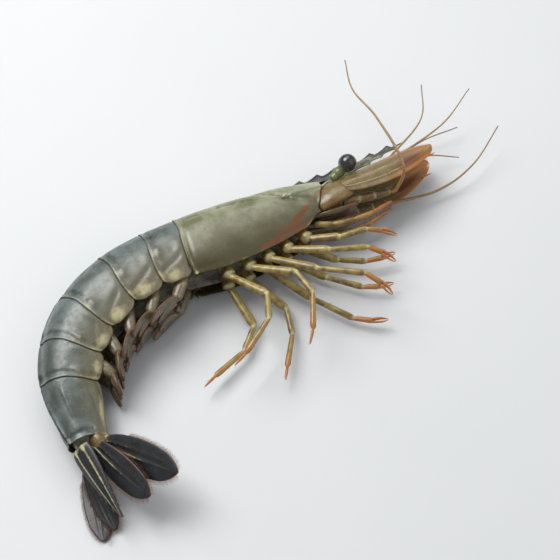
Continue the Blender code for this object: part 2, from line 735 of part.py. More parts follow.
def fan_leaf(name, side, sizes, outline):
    """Leaf of the tail fan, turned sideways by its yaw and bent down by its droop."""
    root_height, root_offset, right_yaw, left_yaw, droop, length, half_width, half_depth = sizes
    yaw = radians(right_yaw if side > 0 else left_yaw)
    _, tailward, dorsal, right = body_frame(ABDOMEN_END + TAIL_LENGTH * FAN_FACING)
    way = tailward * cos(yaw) + right * sin(yaw)
    root = body_point(ABDOMEN_END + MARGIN_LOBES[6] + FAN_GAP, root_height, side * root_offset)
    root += way * half_width * outline[0][1] * abs(sin(yaw))
    shares = [index / 7 for index in range(8)]
    path = [root + way * length * share - dorsal * droop * share**2 for share in shares]
    bm = bmesh.new()
    leaf(bm, path, way.cross(dorsal), half_width, half_depth, outline)
    finish(name, bm, "tail_navy")


def tail_fan():
    """Telson and the two leaves of each uropod, stacked from the back to the belly."""
    fan_leaf("telson", 0, TELSON, TELSON_OUTLINE)
    for side, word in SIDES:
        fan_leaf(f"uropod_inner_{word}", side, INNER_UROPOD, PADDLE_OUTLINE)
        fan_leaf(f"uropod_outer_{word}", side, OUTER_UROPOD, PADDLE_OUTLINE)


def clear_scene():
    """Removes what a new file holds."""
    for item in list(bpy.data.objects):
        bpy.data.objects.remove(item, do_unlink=True)


def main():
    clear_scene()
    carapace()
    abdomen()
    head_limbs()
    under_limbs()
    tail_fan()


main()
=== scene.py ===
"""Looks of a raw tiger prawn that lies on its left flank with its abdomen half curled.

A place on the animal is given by three body measures in metres: distance back along the body's
axis from the eye socket, height above the axis towards the back, and offset to the right of the
middle plane. Every vertex carries two values for its material: `skin` holds the share of the way
along the piece, the share of the way round it from the back, and millimetres along it, and `tone`
holds how much pale, rusty and dark colour lies there. Most of it is pigment, but the pale on the
legs' upper sides is painted highlight, the pale on raised rear lips is partly painted highlight,
and the dark in grooves, along the margin grooves and between the belly's bars is painted shade.
"""

from math import cos, exp, pi, radians, sin
from random import Random

import bmesh
import bpy
from bpy.props import FloatProperty, FloatVectorProperty, PointerProperty
from mathutils import Matrix, Vector, geometry, noise


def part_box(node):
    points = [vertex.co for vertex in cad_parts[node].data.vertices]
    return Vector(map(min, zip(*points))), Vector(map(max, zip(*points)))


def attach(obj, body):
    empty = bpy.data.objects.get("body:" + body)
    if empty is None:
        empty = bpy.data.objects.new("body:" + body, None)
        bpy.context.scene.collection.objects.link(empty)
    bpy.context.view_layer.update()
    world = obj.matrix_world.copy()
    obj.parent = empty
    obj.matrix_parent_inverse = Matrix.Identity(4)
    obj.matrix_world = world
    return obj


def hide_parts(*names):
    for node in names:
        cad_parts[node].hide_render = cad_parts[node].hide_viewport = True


bl_info = {
    "name": "Raw Tiger Prawn",
    "version": (1, 0, 0),
    "blender": (4, 5, 0),
    "location": "3D View > Sidebar > Prawn",
    "description": "Models the shell, limbs, tail fan and bristles of a raw tiger prawn",
    "category": "Add Mesh",
}

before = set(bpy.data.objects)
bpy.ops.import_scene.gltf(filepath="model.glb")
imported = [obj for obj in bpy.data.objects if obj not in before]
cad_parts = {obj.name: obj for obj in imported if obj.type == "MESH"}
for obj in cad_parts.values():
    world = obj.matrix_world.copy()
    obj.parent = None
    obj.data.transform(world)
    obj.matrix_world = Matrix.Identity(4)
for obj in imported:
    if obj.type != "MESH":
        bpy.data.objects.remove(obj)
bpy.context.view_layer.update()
HEAD_LOW, HEAD_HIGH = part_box("carapace")

# Body axis: the length and bend of each stretch from head to tail.
THORAX_LENGTH = 0.053
SEGMENT_LENGTHS = (0.0108, 0.0126, 0.0140, 0.0118, 0.0112, 0.0192)
SEGMENT_BENDS = (5.0, 13.0, 19.0, 20.0, 18.0, 15.0)
TAIL_LENGTH = 0.028
TAIL_BEND = 12.0
ABDOMEN_END = THORAX_LENGTH + sum(SEGMENT_LENGTHS)

# The eye socket is where the axis starts, found from the rostrum's tip and the top of the back.
ROSTRUM_TIP = (-0.031, 0.0118)
BACK_HEIGHT = 0.012955
EYE_SOCKET = Vector((HEAD_HIGH.x + ROSTRUM_TIP[0], HEAD_HIGH.y - BACK_HEIGHT, HEAD_LOW.z))

# Height of the middle plane over the rest plane, and roll of the body, against distance.
LIE = (
    (0.000, 0.0096, 0.0),
    (0.075, 0.0096, 0.0),
    (0.100, 0.0088, 4.0),
    (0.114, 0.0079, 14.0),
    (ABDOMEN_END, 0.0069, 36.0),
    (ABDOMEN_END + TAIL_LENGTH, 0.0067, 56.0),
)

# Half sections against distance: height over the axis, depth under it, half width.
PROFILE = (
    (0.000, 0.0066, 0.0046, 0.0058),
    (0.008, 0.0084, 0.0070, 0.0075),
    (0.018, 0.0102, 0.0102, 0.0089),
    (0.032, 0.0115, 0.0126, 0.0099),
    (0.044, 0.0121, 0.0131, 0.0103),
    (0.053, 0.0120, 0.0120, 0.0101),
    (0.064, 0.0119, 0.0115, 0.0100),
    (0.076, 0.0120, 0.0114, 0.0099),
    (0.090, 0.0117, 0.0108, 0.0094),
    (0.102, 0.0106, 0.0095, 0.0085),
    (0.113, 0.0094, 0.0079, 0.0075),
    (ABDOMEN_END, 0.0062, 0.0050, 0.0052),
)
SIDE_FULLNESS = 0.85
EDGE_START = 0.75
CHANNEL_DEPTH = 0.36
CHANNEL_EDGES = (0.57, 0.73)
KEEL_HEIGHT = 0.0006
KEEL_SPREAD = 0.13
# Share of half a turn, from the middle of the back, at which a shell's lower edge lies.
LOWER_EDGE = 0.768
# Way round the skin, in metres, that a whole half turn stands for.
HALF_GIRTH = 0.036

# Shell margins.
FRONT_SLANT = 0.012
SOCKET_NOTCH = 0.0018
# Rounding of the carapace's lower front corner: share round where it starts, and its depth.
CORNER_START = 0.60
CORNER_DEPTH = 0.0045
MARGIN_LOBES = (0.0016, 0.0018, 0.0022, 0.0022, 0.0019, 0.0012, 0.0004)
SCALLOP = 0.20
TUCK = 0.0024
TUCK_DEPTH = 0.00040
LIP = 0.00014

# Raised and sunk lines of the carapace: height, half width, and (distance, share round) points.
CARAPACE_LINES = (
    (-0.00058, 0.0012, ((0.0275, 0.15), (0.0245, 0.22), (0.0215, 0.29), (0.0185, 0.36), (0.0165, 0.42))),
    (-0.00046, 0.0011, ((0.0172, 0.42), (0.0140, 0.47), (0.0105, 0.51), (0.0085, 0.56), (0.0080, 0.62))),
    (0.00046, 0.0009, ((0.0012, 0.375), (0.0060, 0.380), (0.0110, 0.390), (0.0150, 0.405))),
    (-0.00016, 0.0012, ((0.0240, 0.34), (0.0320, 0.30), (0.0400, 0.28), (0.0500, 0.29))),
    (-0.00030, 0.0009, ((0.0010, 0.060), (0.0110, 0.062), (0.0200, 0.056), (0.0260, 0.040))),
)
# Rusty streak that climbs from the lower edge to the antenna's root: distance and share round.
RUST_STREAK = ((0.0050, 0.45), (0.0105, 0.56), (0.0185, 0.66), (0.0300, 0.73))
# Soft dark spots beside the back's middle line: distance and share round.
CARAPACE_SPOTS = ((0.0060, 0.17), (0.0115, 0.14), (0.0150, 0.22), (0.0210, 0.13), (0.0290, 0.12), (0.0385, 0.14))
# Small forward spines of the carapace: distance, share round, length.
CARAPACE_SPINES = ((0.0036, 0.378, 0.0024), (0.0172, 0.412, 0.0016))

# Rostrum.
ROSTRUM_ROOT = 0.022
ROSTRUM_TOP_TEETH = 7
ROSTRUM_BOTTOM_TEETH = 3
TOOTH_HEIGHT = 0.0014
ROSTRUM_HALF_THICKNESS = 0.0008
ROSTRUM_TOP = ((0.0, 0.0104), (0.4, 0.0102), (0.7, 0.0107), (1.0, ROSTRUM_TIP[1]))
ROSTRUM_FOOT = ((0.0, 0.0070), (0.4, 0.0058), (0.7, 0.0084), (1.0, ROSTRUM_TIP[1] - 0.0001))

# Eyes: where the stalk starts and where the globe sits on the right side.
EYE_ROOT = (-0.0006, 0.0050, 0.0042)
EYE_CENTRE = (-0.0072, 0.0074, 0.0068)
EYE_RADIUS = 0.0031
EYE_STALK_RADIUS = 0.0016

# Height over the rest plane at which the middle of a flattened leaf lies.
LEAF_CLEARANCE = 0.0006
# Leaf outlines: share of the full width against share of the length.
SCALE_OUTLINE = ((0.0, 0.50), (0.12, 0.80), (0.35, 1.0), (0.65, 0.96), (0.88, 0.66), (0.97, 0.34), (1.0, 0.10))
PADDLE_OUTLINE = ((0.0, 0.40), (0.2, 0.8), (0.5, 1.0), (0.8, 0.86), (0.93, 0.52), (1.0, 0.12))
TELSON_OUTLINE = ((0.0, 0.86), (0.12, 1.0), (0.45, 0.80), (0.80, 0.36), (0.95, 0.14), (1.0, 0.04))

# Routes of the head limbs on the right side, as (share, distance, height, offset).
SCALE_ROUTE = ((0.0, -0.0018, 0.0000, 0.0064), (0.5, -0.0180, 0.0002, 0.0062), (1.0, -0.0362, 0.0036, 0.0044))
SCALE_ROOT = ((0.0, 0.0078, -0.0012, 0.0036), (0.5, 0.0026, -0.0006, 0.0050), (1.0, -0.0044, 0.0, 0.0050))
SCALE_LEAN = 20.0
SCALE_HALF_WIDTH = 0.0056
ANTENNULE_ROUTE = ((0.0, 0.0010, 0.0016, 0.0021), (1.0, -0.0220, 0.0056, 0.0018))
ANTENNA_BLOCK = ((0.0, 0.0058, -0.0038, 0.0037), (0.5, 0.0032, -0.0024, 0.0039), (1.0, 0.0, -0.0026, 0.0040))
ANTENNA_STALK = ((0.0, -0.0006, -0.0040, 0.0036), (1.0, -0.0160, -0.0064, 0.0036))
JAW_LEG_ROUTE = (
    (0.00, 0.0115, -0.0074, 0.0026),
    (0.33, 0.0040, -0.0106, 0.0030),
    (0.66, -0.0060, -0.0112, 0.0030),
    (1.00, -0.0155, -0.0092, 0.0022),
)
MOUTH_ROUTES = (
    ((0.0, 0.0135, -0.0066, 0.0016), (0.5, 0.0050, -0.0090, 0.0014), (1.0, -0.0035, -0.0086, 0.0010)),
    ((0.0, 0.0110, -0.0050, 0.0032), (0.5, 0.0030, -0.0070, 0.0050), (1.0, -0.0040, -0.0072, 0.0052)),
    ((0.0, 0.0085, -0.0044, 0.0010), (0.5, 0.0010, -0.0062, 0.0012), (1.0, -0.0050, -0.0052, 0.0008)),
)
# Whiskers of each side, whose offsets keep their own sign.
ANTENNULE_WHISKERS = {
    1: (
        ((0.0, -0.0218, 0.0062, 0.0021), (0.5, -0.0380, 0.0150, 0.0040), (1.0, -0.0450, 0.0280, 0.0040)),
        ((0.0, -0.0218, 0.0054, 0.0017), (0.5, -0.0440, 0.0110, 0.0030), (1.0, -0.0590, 0.0200, 0.0040)),
    ),
    -1: (
        ((0.0, -0.0218, 0.0062, -0.0021), (0.5, -0.0370, 0.0120, -0.0044), (1.0, -0.0520, 0.0130, -0.0054)),
        ((0.0, -0.0218, 0.0054, -0.0017), (0.5, -0.0360, 0.0060, -0.0040), (1.0, -0.0470, 0.0020, -0.0060)),
    ),
}
ANTENNA_WHISKERS = {
    1: (
        (0.00, -0.0155, -0.0064, 0.0037),
        (0.06, -0.0178, -0.0072, 0.0046),
        (0.22, -0.0212, -0.0046, 0.0128),
        (0.50, -0.0205, 0.0140, 0.0160),
        (0.75, -0.0190, 0.0290, 0.0140),
        (1.00, -0.0235, 0.0440, 0.0100),
    ),
    -1: (
        (0.00, -0.0155, -0.0064, -0.0036),
        (0.35, -0.0340, -0.0075, -0.0050),
        (0.70, -0.0490, -0.0040, -0.0030),
        (1.00, -0.0620, 0.0040, 0.0010),
    ),
}

# Walking legs: lengths of their five parts, and each part's swing towards the head in degrees.
LEG_ROOTS = (0.0175, 0.0240, 0.0305, 0.0370, 0.0435)
LEG_LENGTHS = (
    (0.005, 0.010, 0.009, 0.005, 0.005),
    (0.005, 0.013, 0.012, 0.005, 0.005),
    (0.005, 0.016, 0.015, 0.006, 0.005),
    (0.005, 0.015, 0.009, 0.012, 0.005),
    (0.005, 0.015, 0.009, 0.013, 0.005),
)
LEG_SWINGS = {
    1: (
        (24.0, 62.0, 82.0, 66.0, 54.0),
        (16.0, 57.0, 68.0, 48.0, 32.0),
        (12.0, 44.0, 57.0, 34.0, 20.0),
        (8.0, 50.0, 10.0, -24.0, -36.0),
        (-4.0, 30.0, -20.0, -56.0, -68.0),
    ),
    -1: (
        (22.0, 52.0, 64.0, 78.0, 86.0),
        (14.0, 44.0, 50.0, 66.0, 76.0),
        (6.0, 33.0, 38.0, 56.0, 66.0),
        (2.0, 26.0, -12.0, -32.0, -30.0),
        (-8.0, 8.0, -42.0, -68.0, -62.0),
    ),
}
LEG_SPREADS = {1: (6.0, 14.0, 4.0, -8.0, -14.0), -1: (3.0, 8.0, 2.0, -4.0, -8.0)}
LEG_RADII = (0.0020, 0.00134, 0.00104, 0.0009, 0.0005)
PINCER_LEGS = 3
LEG_OFFSET = 0.0033
COXA_DEPTH = 0.0013

# Swimmerets: stalk and paddle, and how far they sweep back from straight down.
SWIMMERET_STALKS = (0.0078, 0.0077, 0.0070, 0.0062, 0.0054)
SWIMMERET_PADDLES = (0.0114, 0.0096, 0.0090, 0.0080, 0.0072)
STALK_SWEEPS = (40.0, 40.0, 38.0, 36.0, 38.0)
PADDLE_SWEEPS = (67.0, 66.0, 63.0, 62.0, 66.0)
SWIMMERET_OFFSET = 0.0046
SWIMMERET_DEPTH = 0.0024

# Tail fan: root height, root offset, yaw on the right and left, droop, length, half width.
INNER_UROPOD = (0.0006, 0.0024, 15.0, -13.0, 0.0016, 0.0255, 0.0046)
OUTER_UROPOD = (-0.0020, 0.0030, 34.0, -28.0, 0.0014, 0.0285, 0.0054)
TELSON = (0.0036, 0.0, 0.0, 0.0, 0.0010, 0.0255, 0.0040)
FAN_GAP = 0.0006
# Short block that carries a uropod's two leaves: distance past the abdomen, height, offset.
UROPOD_ROOT = ((-0.0030, 0.0, 0.0022), (-0.0012, -0.0002, 0.0026), (0.0010, -0.0006, 0.0032), (0.0028, -0.0010, 0.0037),
               (0.0044, -0.0012, 0.0041))

# View of the object: azimuth, elevation, lens, and share of the image left free around it.
VIEW_AZIMUTH = -24.0
VIEW_ELEVATION = 60.0
VIEW_LENS = 90.0
VIEW_MARGIN = 0.06


def linear(code):
    """Linear red, green and blue of an sRGB hex colour."""
    values = [int(code[start:start + 2], 16) / 255.0 for start in (0, 2, 4)]
    return [value / 12.92 if value <= 0.04045 else ((value + 0.055) / 1.055) ** 2.4 for value in values]


def colour(name, description, code):
    """Colour property with an sRGB hex default."""
    return FloatVectorProperty(
        name=name, description=description, subtype="COLOR", size=3, min=0.0, max=1.0, default=linear(code)
    )


def size(name, description, default):
    """Length property in metres."""
    return FloatProperty(name=name, description=description, default=default, min=0.0, unit="LENGTH")


class PrawnSizes(bpy.types.PropertyGroup):
    wall: size("Shell thickness", "Thickness of the shell plates", 0.00028)
    bristle_radius: size("Bristle radius", "Radius of a bristle at its root", 0.00005)
    fringe_length: size("Fringe length", "Length of the bristles along the tail fan", 0.0014)
    hair_length: size("Hair length", "Length of the bristles on the limbs", 0.0011)
    speck: size("Pigment speck", "Width of one pigment speck in the shell", 0.00055)
    cloud: size("Pigment cloud", "Width of one soft patch of pigment", 0.0055)
    ring: size("Whisker ring", "Length of one ring of a whisker", 0.0009)


class PrawnColours(bpy.types.PropertyGroup):
    back: colour("Carapace back", "Grey-green of the carapace's back", "999E80")
    flank: colour("Carapace flank", "Deeper olive of the carapace's flank", "6A6E46")
    # Partly painted shade: the carapace darkens to this towards its lower edge.
    cheek: colour("Carapace edge", "Brown-olive near the carapace's lower edge", "453F20")
    tail_back: colour("Abdomen back", "Blue-grey of the abdomen", "5F6C6A")
    tail_flank: colour("Abdomen flank", "Deeper slate of the abdomen", "434B46")
    tail_edge: colour("Abdomen edge", "Taupe of the abdomen's side lobes", "706950")
    cream: colour("Cream", "Pale pigment on margins and joints", "C2BB90")
    rust: colour("Rust", "Rust-brown pigment", "6C3E10")
    russet: colour("Russet", "Dark red-orange pigment of scales and leg joints", "642A10")
    crimson: colour("Crimson", "Crimson pigment of fringes and paddles", "6E3327")
    orange: colour("Orange", "Orange pigment of tips", "A96A2E")
    # Near-black used both for pigment and for painted shade in grooves and on the belly.
    ink_and_shade: colour("Ink", "Near-black pigment of ridges", "1F201B")
    olive: colour("Olive", "Olive of the antennal scales", "76673C")
    straw: colour("Straw", "Straw of the legs", "9E8D4A")
    straw_deep: colour("Deep straw", "Brown-olive of the legs", "685228")
    paddle: colour("Paddle", "Taupe of the swimmerets", "7A6E55")
    paddle_deep: colour("Deep paddle", "Red-brown of the swimmerets", "4F3F2E")
    night: colour("Tail dark", "Near-black of the tail fan", "15120F")
    night_blue: colour("Tail blue", "Slate-blue clouds of the tail fan", "1B1F27")
    flesh: colour("Flesh", "Grey-cream of the underside", "8E8A74")
    flesh_deep: colour("Deep flesh", "Brown shade of the underside", "5E5444")
    whisker: colour("Whisker", "Pink-brown of the whiskers", "9A7650")
    whisker_deep: colour("Whisker dark", "Brown rings of the whiskers", "5E402C")
    bristle: colour("Bristle", "Red-brown of the bristles", "7E5433")


# ---------------------------------------------------------------- measures along the body

def smooth_row(rows, x):
    """Reads a table of (x, value, ...) rows at x, on smooth curves through the rows."""
    x = min(max(x, rows[0][0]), rows[-1][0])
    right = next(index for index in range(1, len(rows)) if x <= rows[index][0])
    left = right - 1
    span = rows[right][0] - rows[left][0]
    t = (x - rows[left][0]) / span

    def slope(index, column):
        before = rows[max(index - 1, 0)]
        after = rows[min(index + 1, len(rows) - 1)]
        return (after[column] - before[column]) / (after[0] - before[0]) * span

    return [
        rows[left][column] * (2 * t**3 - 3 * t**2 + 1)
        + slope(left, column) * (t**3 - 2 * t**2 + t)
        + rows[right][column] * (3 * t**2 - 2 * t**3)
        + slope(right, column) * (t**3 - t**2)
        for column in range(1, len(rows[0]))
    ]


def travel(heading, rate, length):
    """Way covered along an arc that starts at a heading, where heading 0 leads to -X."""
    if rate == 0.0:
        return Vector((-cos(heading), -sin(heading), 0.0)) * length
    end = heading + rate * length
    return Vector((sin(heading) - sin(end), cos(end) - cos(heading), 0.0)) / rate


def axis_stretches():
    """Start distance, start heading, bend per metre and start point of each stretch."""
    stretches = []
    distance, heading, point = 0.0, 0.0, EYE_SOCKET.copy()
    lengths = (THORAX_LENGTH,) + SEGMENT_LENGTHS + (TAIL_LENGTH,)
    for length, bend in zip(lengths, (0.0,) + SEGMENT_BENDS + (TAIL_BEND,)):
        rate = radians(bend) / length
        stretches.append((distance, heading, rate, point.copy()))
        point += travel(heading, rate, length)
        heading += radians(bend)
        distance += length
    return stretches


STRETCHES = axis_stretches()
UP = Vector((0.0, 0.0, 1.0))


def body_frame(distance):
    """Point on the axis and the tailward, dorsal and right directions there."""
    start, heading, rate, point = [row for row in STRETCHES if row[0] <= max(distance, 0.0)][-1]
    height, roll = smooth_row(LIE, distance)
    turned = heading + rate * (distance - start)
    point = point + travel(heading, rate, distance - start)
    point.z = HEAD_LOW.z + height
    tailward = Vector((-cos(turned), -sin(turned), 0.0))
    dorsal = Vector((-sin(turned), cos(turned), 0.0))
    rolled = radians(roll)
    return point, tailward, dorsal * cos(rolled) + UP * sin(rolled), UP * cos(rolled) - dorsal * sin(rolled)


def body_point(distance, height, offset):
    """World place of a point given by its three body measures."""
    point, _, dorsal, right = body_frame(distance)
    return point + dorsal * height + right * offset


def settle(point, clearance=0.0):
    """Lets a soft part that would sink under the rest plane lie on it, or a clearance above it."""
    cushion = 0.0022
    depth = point.z - clearance - cushion
    if depth < 0.0:
        point = point.copy()
        point.z = clearance + cushion * exp(depth / cushion)
    return point


def fade(value, low, high):
    """Smooth step from 1 below the low value to 0 above the high one."""
    t = min(max((value - low) / (high - low), 0.0), 1.0)
    return 1.0 - t * t * (3.0 - 2.0 * t)


def hump(value, centre, reach):
    """Rounded bump of height 1 at its centre and 0 beyond its reach."""
    t = (value - centre) / reach
    return max(0.0, 1.0 - t * t) ** 2


def bell(value, centre, spread):
    """Bell curve of height 1 at its centre."""
    return exp(-(((value - centre) / spread) ** 2))


def section(distance, angle, proud=0.0, lift=0.0):
    """Height and offset of the body's skin at an angle from the back's middle."""
    above, below, half_width = smooth_row(PROFILE, distance)
    side, up = sin(angle), cos(angle)
    breadth = abs(side) ** SIDE_FULLNESS
    offset = (half_width + proud) * breadth * (1.0 if side > 0.0 else -1.0)
    if up > 0.0:
        turned = min(abs(angle), 2.0 * pi - abs(angle))
        height = (above + proud) * up**0.95 + KEEL_HEIGHT * bell(turned, 0.0, KEEL_SPREAD)
    else:
        height = -(below + proud - lift) * min(1.0, (-up / EDGE_START) ** 0.8)
        height += (CHANNEL_DEPTH * below - lift) * fade(breadth, *CHANNEL_EDGES)
    return height, offset


def channel_height(distance):
    """Height of the floor of the channel between the shell's lower edges."""
    return -smooth_row(PROFILE, distance)[1] * (1.0 - CHANNEL_DEPTH)


def margin(number, around):
    """Distance of the rear margin of shell `number` (0 is the carapace) at a share round it."""
    return THORAX_LENGTH + sum(SEGMENT_LENGTHS[:number]) + MARGIN_LOBES[number] * hump(around, 0.66, 0.30)


def rough(point, grain, height):
    """Soft unevenness of a skin, with lumps of the given width."""
    return height * noise.noise(point / grain)


# ---------------------------------------------------------------- mesh tools

def new_mesh():
    """Empty mesh with the layers that every piece carries."""
    bm = bmesh.new()
    bm.verts.layers.int.new("around")
    bm.verts.layers.float_vector.new("skin")
    bm.verts.layers.float_vector.new("tone")
    return bm


def give(bm, vertex, values):
    """Sets a vertex's place, skin and tone."""
    layers = bm.verts.layers.float_vector
    vertex.co = values[0]
    vertex[layers["skin"]] = values[1]
    vertex[layers["tone"]] = values[2]


def sheet(columns, rows, place):
    """Open sheet; place(u, v), with both from 0 to 1, gives each vertex its values."""
    bm = new_mesh()
    bmesh.ops.create_grid(bm, x_segments=columns, y_segments=rows, size=0.5)
    for vertex in bm.verts:
        give(bm, vertex, place(vertex.co.x + 0.5, vertex.co.y + 0.5))
    return bm


def ring_edges(vertices):
    """Edges whose two ends are both in a set of vertices."""
    chosen = set(vertices)
    edges = {edge for vertex in chosen for edge in vertex.link_edges}
    return [edge for edge in edges if all(end in chosen for end in edge.verts)]


def loft(bm, sides, stations, place):
    """Closed tube through the stations; place(station, index) gives each vertex its values."""
    around = bm.verts.layers.int["around"]
    vertices = bmesh.ops.create_circle(bm, segments=sides, radius=1.0)["verts"]
    for index, vertex in enumerate(vertices):
        vertex[around] = index
        give(bm, vertex, place(stations[0], index))
    first = ring_edges(vertices)
    edges = first
    for station in stations[1:]:
        grown = bmesh.ops.extrude_edge_only(bm, edges=edges)["geom"]
        vertices = [item for item in grown if isinstance(item, bmesh.types.BMVert)]
        for vertex in vertices:
            give(bm, vertex, place(station, vertex[around]))
        edges = ring_edges(vertices)
    for loop in (first, edges):
        bmesh.ops.edgeloop_fill(bm, edges=loop)


def headings(path):
    """Direction of a path at each of its points."""
    steps = [(after - before).normalized() for before, after in zip(path, path[1:])]
    middle = [(before + after).normalized() for before, after in zip(steps, steps[1:])]
    return [steps[0]] + middle + [steps[-1]]


def lengths_along(path):
    """Metres covered at each point of a path."""
    covered = [0.0]
    for before, after in zip(path, path[1:]):
        covered.append(covered[-1] + (after - before).length)
    return covered


def no_tone(share, turn):
    """Plain pigment."""
    return (0.0, 0.0, 0.0)


def tube(bm, path, sizes, across, sides, tones=no_tone, finish=0, soft=True):
    """Oval tube along a path; sizes are its half width along `across` and its half depth."""
    before = set(bm.faces)
    ways = headings(path)
    covered = lengths_along(path)

    def place(station, index):
        way = ways[station]
        wide = (across - way * across.dot(way)).normalized()
        deep = way.cross(wide)
        angle = 2.0 * pi * index / sides
        half_width, half_depth = sizes[station]
        centre = settle(path[station], max(half_width, half_depth)) if soft else path[station]
        point = centre + wide * half_width * cos(angle) + deep * half_depth * sin(angle)
        share = covered[station] / covered[-1]
        return point, (share, index / sides, covered[station] * 1000.0), tones(share, cos(angle))

    loft(bm, sides, range(len(path)), place)
    if finish:
        for face in set(bm.faces) - before:
            face.material_index = finish


def blade(bm, path, across, widths, relief, columns, tones=no_tone):
    """Closed leaf along a path; relief(share, x) gives its upper and lower height at a share across."""
    ways = headings(path)
    covered = lengths_along(path)
    last = len(path) - 1

    def place(station, index):
        share = station / last
        way = ways[station]
        wide = (across - way * across.dot(way)).normalized()
        up = wide.cross(way)
        x = 1.0 - 2.0 * index / columns if index <= columns else 2.0 * index / columns - 3.0
        upper, lower = relief(share, x)
        height = upper if 0 < index < columns else lower
        if index in (0, columns):
            height = (upper + lower) / 2.0
        point = settle(path[station] + wide * widths[station] * x, LEAF_CLEARANCE) + up * height
        point.z = max(point.z, 0.0)
        return point, (share, (x + 1.0) / 2.0, covered[station] * 1000.0), tones(share, x)

    loft(bm, 2 * columns, range(len(path)), place)


def spine(bm, root, way, length, radius, bend, tone, sides=6):
    """Curved thorn or bristle that ends in a point."""
    path = [root + way * length * share + bend * length * share * share for share in (0.0, 0.4, 0.75, 1.0)]
    sizes = [(radius * width, radius * width) for width in (1.0, 0.78, 0.45, 0.1)]
    across = way.orthogonal().normalized()
    tube(bm, path, sizes, across, sides, lambda share, turn: tone)


def put(name, bm, finish, replaces=(), wall=0.0, smooth=1):
    """Makes the piece's object: outward faces, wall, smoothing, material and body, and hides the parts it replaces."""
    if not wall:
        bmesh.ops.recalc_face_normals(bm, faces=bm.faces)
    bm.verts.layers.int.remove(bm.verts.layers.int["around"])
    mesh = bpy.data.meshes.new(name)
    bm.to_mesh(mesh)
    bm.free()
    mesh.shade_smooth()
    for item in finish if isinstance(finish, tuple) else (finish,):
        mesh.materials.append(item)
    piece = bpy.data.objects.new(name, mesh)
    bpy.context.scene.collection.objects.link(piece)
    if wall:
        solid = piece.modifiers.new("wall", "SOLIDIFY")
        solid.thickness = wall
        solid.offset = -1.0
    if smooth:
        rounded = piece.modifiers.new("rounded", "SUBSURF")
        rounded.levels = rounded.render_levels = smooth
    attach(piece, "root")
    if replaces:
        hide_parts(*replaces)
    return piece


# ---------------------------------------------------------------- materials

def add(tree, kind, inputs=(), **settings):
    """Adds a node: `settings` are its own values, `inputs` the values of or links to its sockets."""
    made = tree.nodes.new(kind)
    for key, value in settings.items():
        setattr(made, key, value)
    for key, value in dict(inputs).items():
        if isinstance(value, bpy.types.NodeSocket):
            tree.links.new(value, made.inputs[key])
        else:
            made.inputs[key].default_value = value
    return made


def per(length):
    """Texture scale at which one feature is as wide as the length in metres."""
    return 1.0 / length


def chitin(name, light, deep, low, pale, rust, dark, cloud, speck, speckled=0.5, low_from=0.45,
           gloss=(0.28, 0.44), film=0.5, depth=0.12, relief=0.00004, rings=0.0):
    """Wet cuticle whose pigment lies in clouds and specks, with pale, rusty and dark marks."""
    if name in bpy.data.materials:
        return bpy.data.materials[name]
    made = bpy.data.materials.new(name)
    made.use_nodes = True
    tree = made.node_tree
    shader = tree.nodes["Principled BSDF"]
    place = add(tree, "ShaderNodeTexCoord").outputs["Object"]
    skin = add(tree, "ShaderNodeAttribute", attribute_name="skin").outputs["Vector"]
    tone = add(tree, "ShaderNodeAttribute", attribute_name="tone").outputs["Vector"]
    along = add(tree, "ShaderNodeSeparateXYZ", {0: skin}).outputs
    marks = add(tree, "ShaderNodeSeparateXYZ", {0: tone}).outputs
    grains = [
        add(tree, "ShaderNodeTexNoise", {"Vector": place, "Scale": per(width), "Detail": detail, "Roughness": 0.62})
        for width, detail in ((cloud, 4.0), (cloud / 4.0, 3.0), (speck, 2.0))
    ]
    clouds, mottle, specks = [grain.outputs["Fac"] for grain in grains]
    # The mottle tears the edges of the marks, as pigment cells do.
    ragged = [
        add(tree, "ShaderNodeMath", {0: mottle, 1: 0.6, 2: mark}, operation="MULTIPLY_ADD").outputs[0]
        for mark in marks
    ]
    # Layers of colour from the deepest up, pigment and, where the masks hold it, painted shade and highlight: what
    # drives them, where they start and end, share, colour.
    layers = [
        (clouds, 0.36, 0.64, 1.0, deep),
        # Towards the lower edge; on the carapace this darkening is partly painted shade.
        (along["Y"], low_from, 1.0, 1.0, low),
        (specks, 0.50, 0.68, speckled, dark),
        (specks, 0.44, 0.30, speckled * 0.5, pale),
        (ragged[2], 0.52, 1.02, 1.0, dark),
        (ragged[0], 0.52, 1.02, 1.0, pale),
        (ragged[1], 0.52, 1.02, 1.0, rust),
    ]
    height = specks
    if rings:
        turn = add(tree, "ShaderNodeMath", {0: along["Z"], 1: 2.0 * pi / (rings * 1000.0)}, operation="MULTIPLY")
        height = add(tree, "ShaderNodeMath", {0: turn.outputs[0]}, operation="SINE").outputs[0]
        layers.append((height, 0.1, 0.9, 0.4, dark))
    look = (*light, 1.0)
    for value, start, end, most, hue in layers:
        ends = {"Value": value, "From Min": start, "From Max": end, "To Max": most}
        share = add(tree, "ShaderNodeMapRange", ends, interpolation_type="SMOOTHSTEP").outputs["Result"]
        look = add(tree, "ShaderNodeMix", {0: share, 6: look, 7: (*hue, 1.0)}, data_type="RGBA").outputs[2]
    sheen = add(tree, "ShaderNodeMapRange",
                {"Value": mottle, "From Min": 0.3, "From Max": 0.7, "To Min": gloss[0], "To Max": gloss[1]})
    bump = add(tree, "ShaderNodeBump", {"Height": height, "Distance": relief, "Strength": 0.6})
    tree.links.new(look, shader.inputs["Base Color"])
    tree.links.new(sheen.outputs["Result"], shader.inputs["Roughness"])
    tree.links.new(bump.outputs["Normal"], shader.inputs["Normal"])
    # Chitin is a little denser to light than glass, and the film on it is water.
    shader.inputs["IOR"].default_value = 1.54
    shader.inputs["Coat Weight"].default_value = film
    shader.inputs["Coat Roughness"].default_value = 0.14
    shader.inputs["Coat IOR"].default_value = 1.33
    shader.inputs["Subsurface Weight"].default_value = depth
    shader.inputs["Subsurface Radius"].default_value = (1.0, 0.6, 0.4)
    shader.inputs["Subsurface Scale"].default_value = 0.0012
    return made


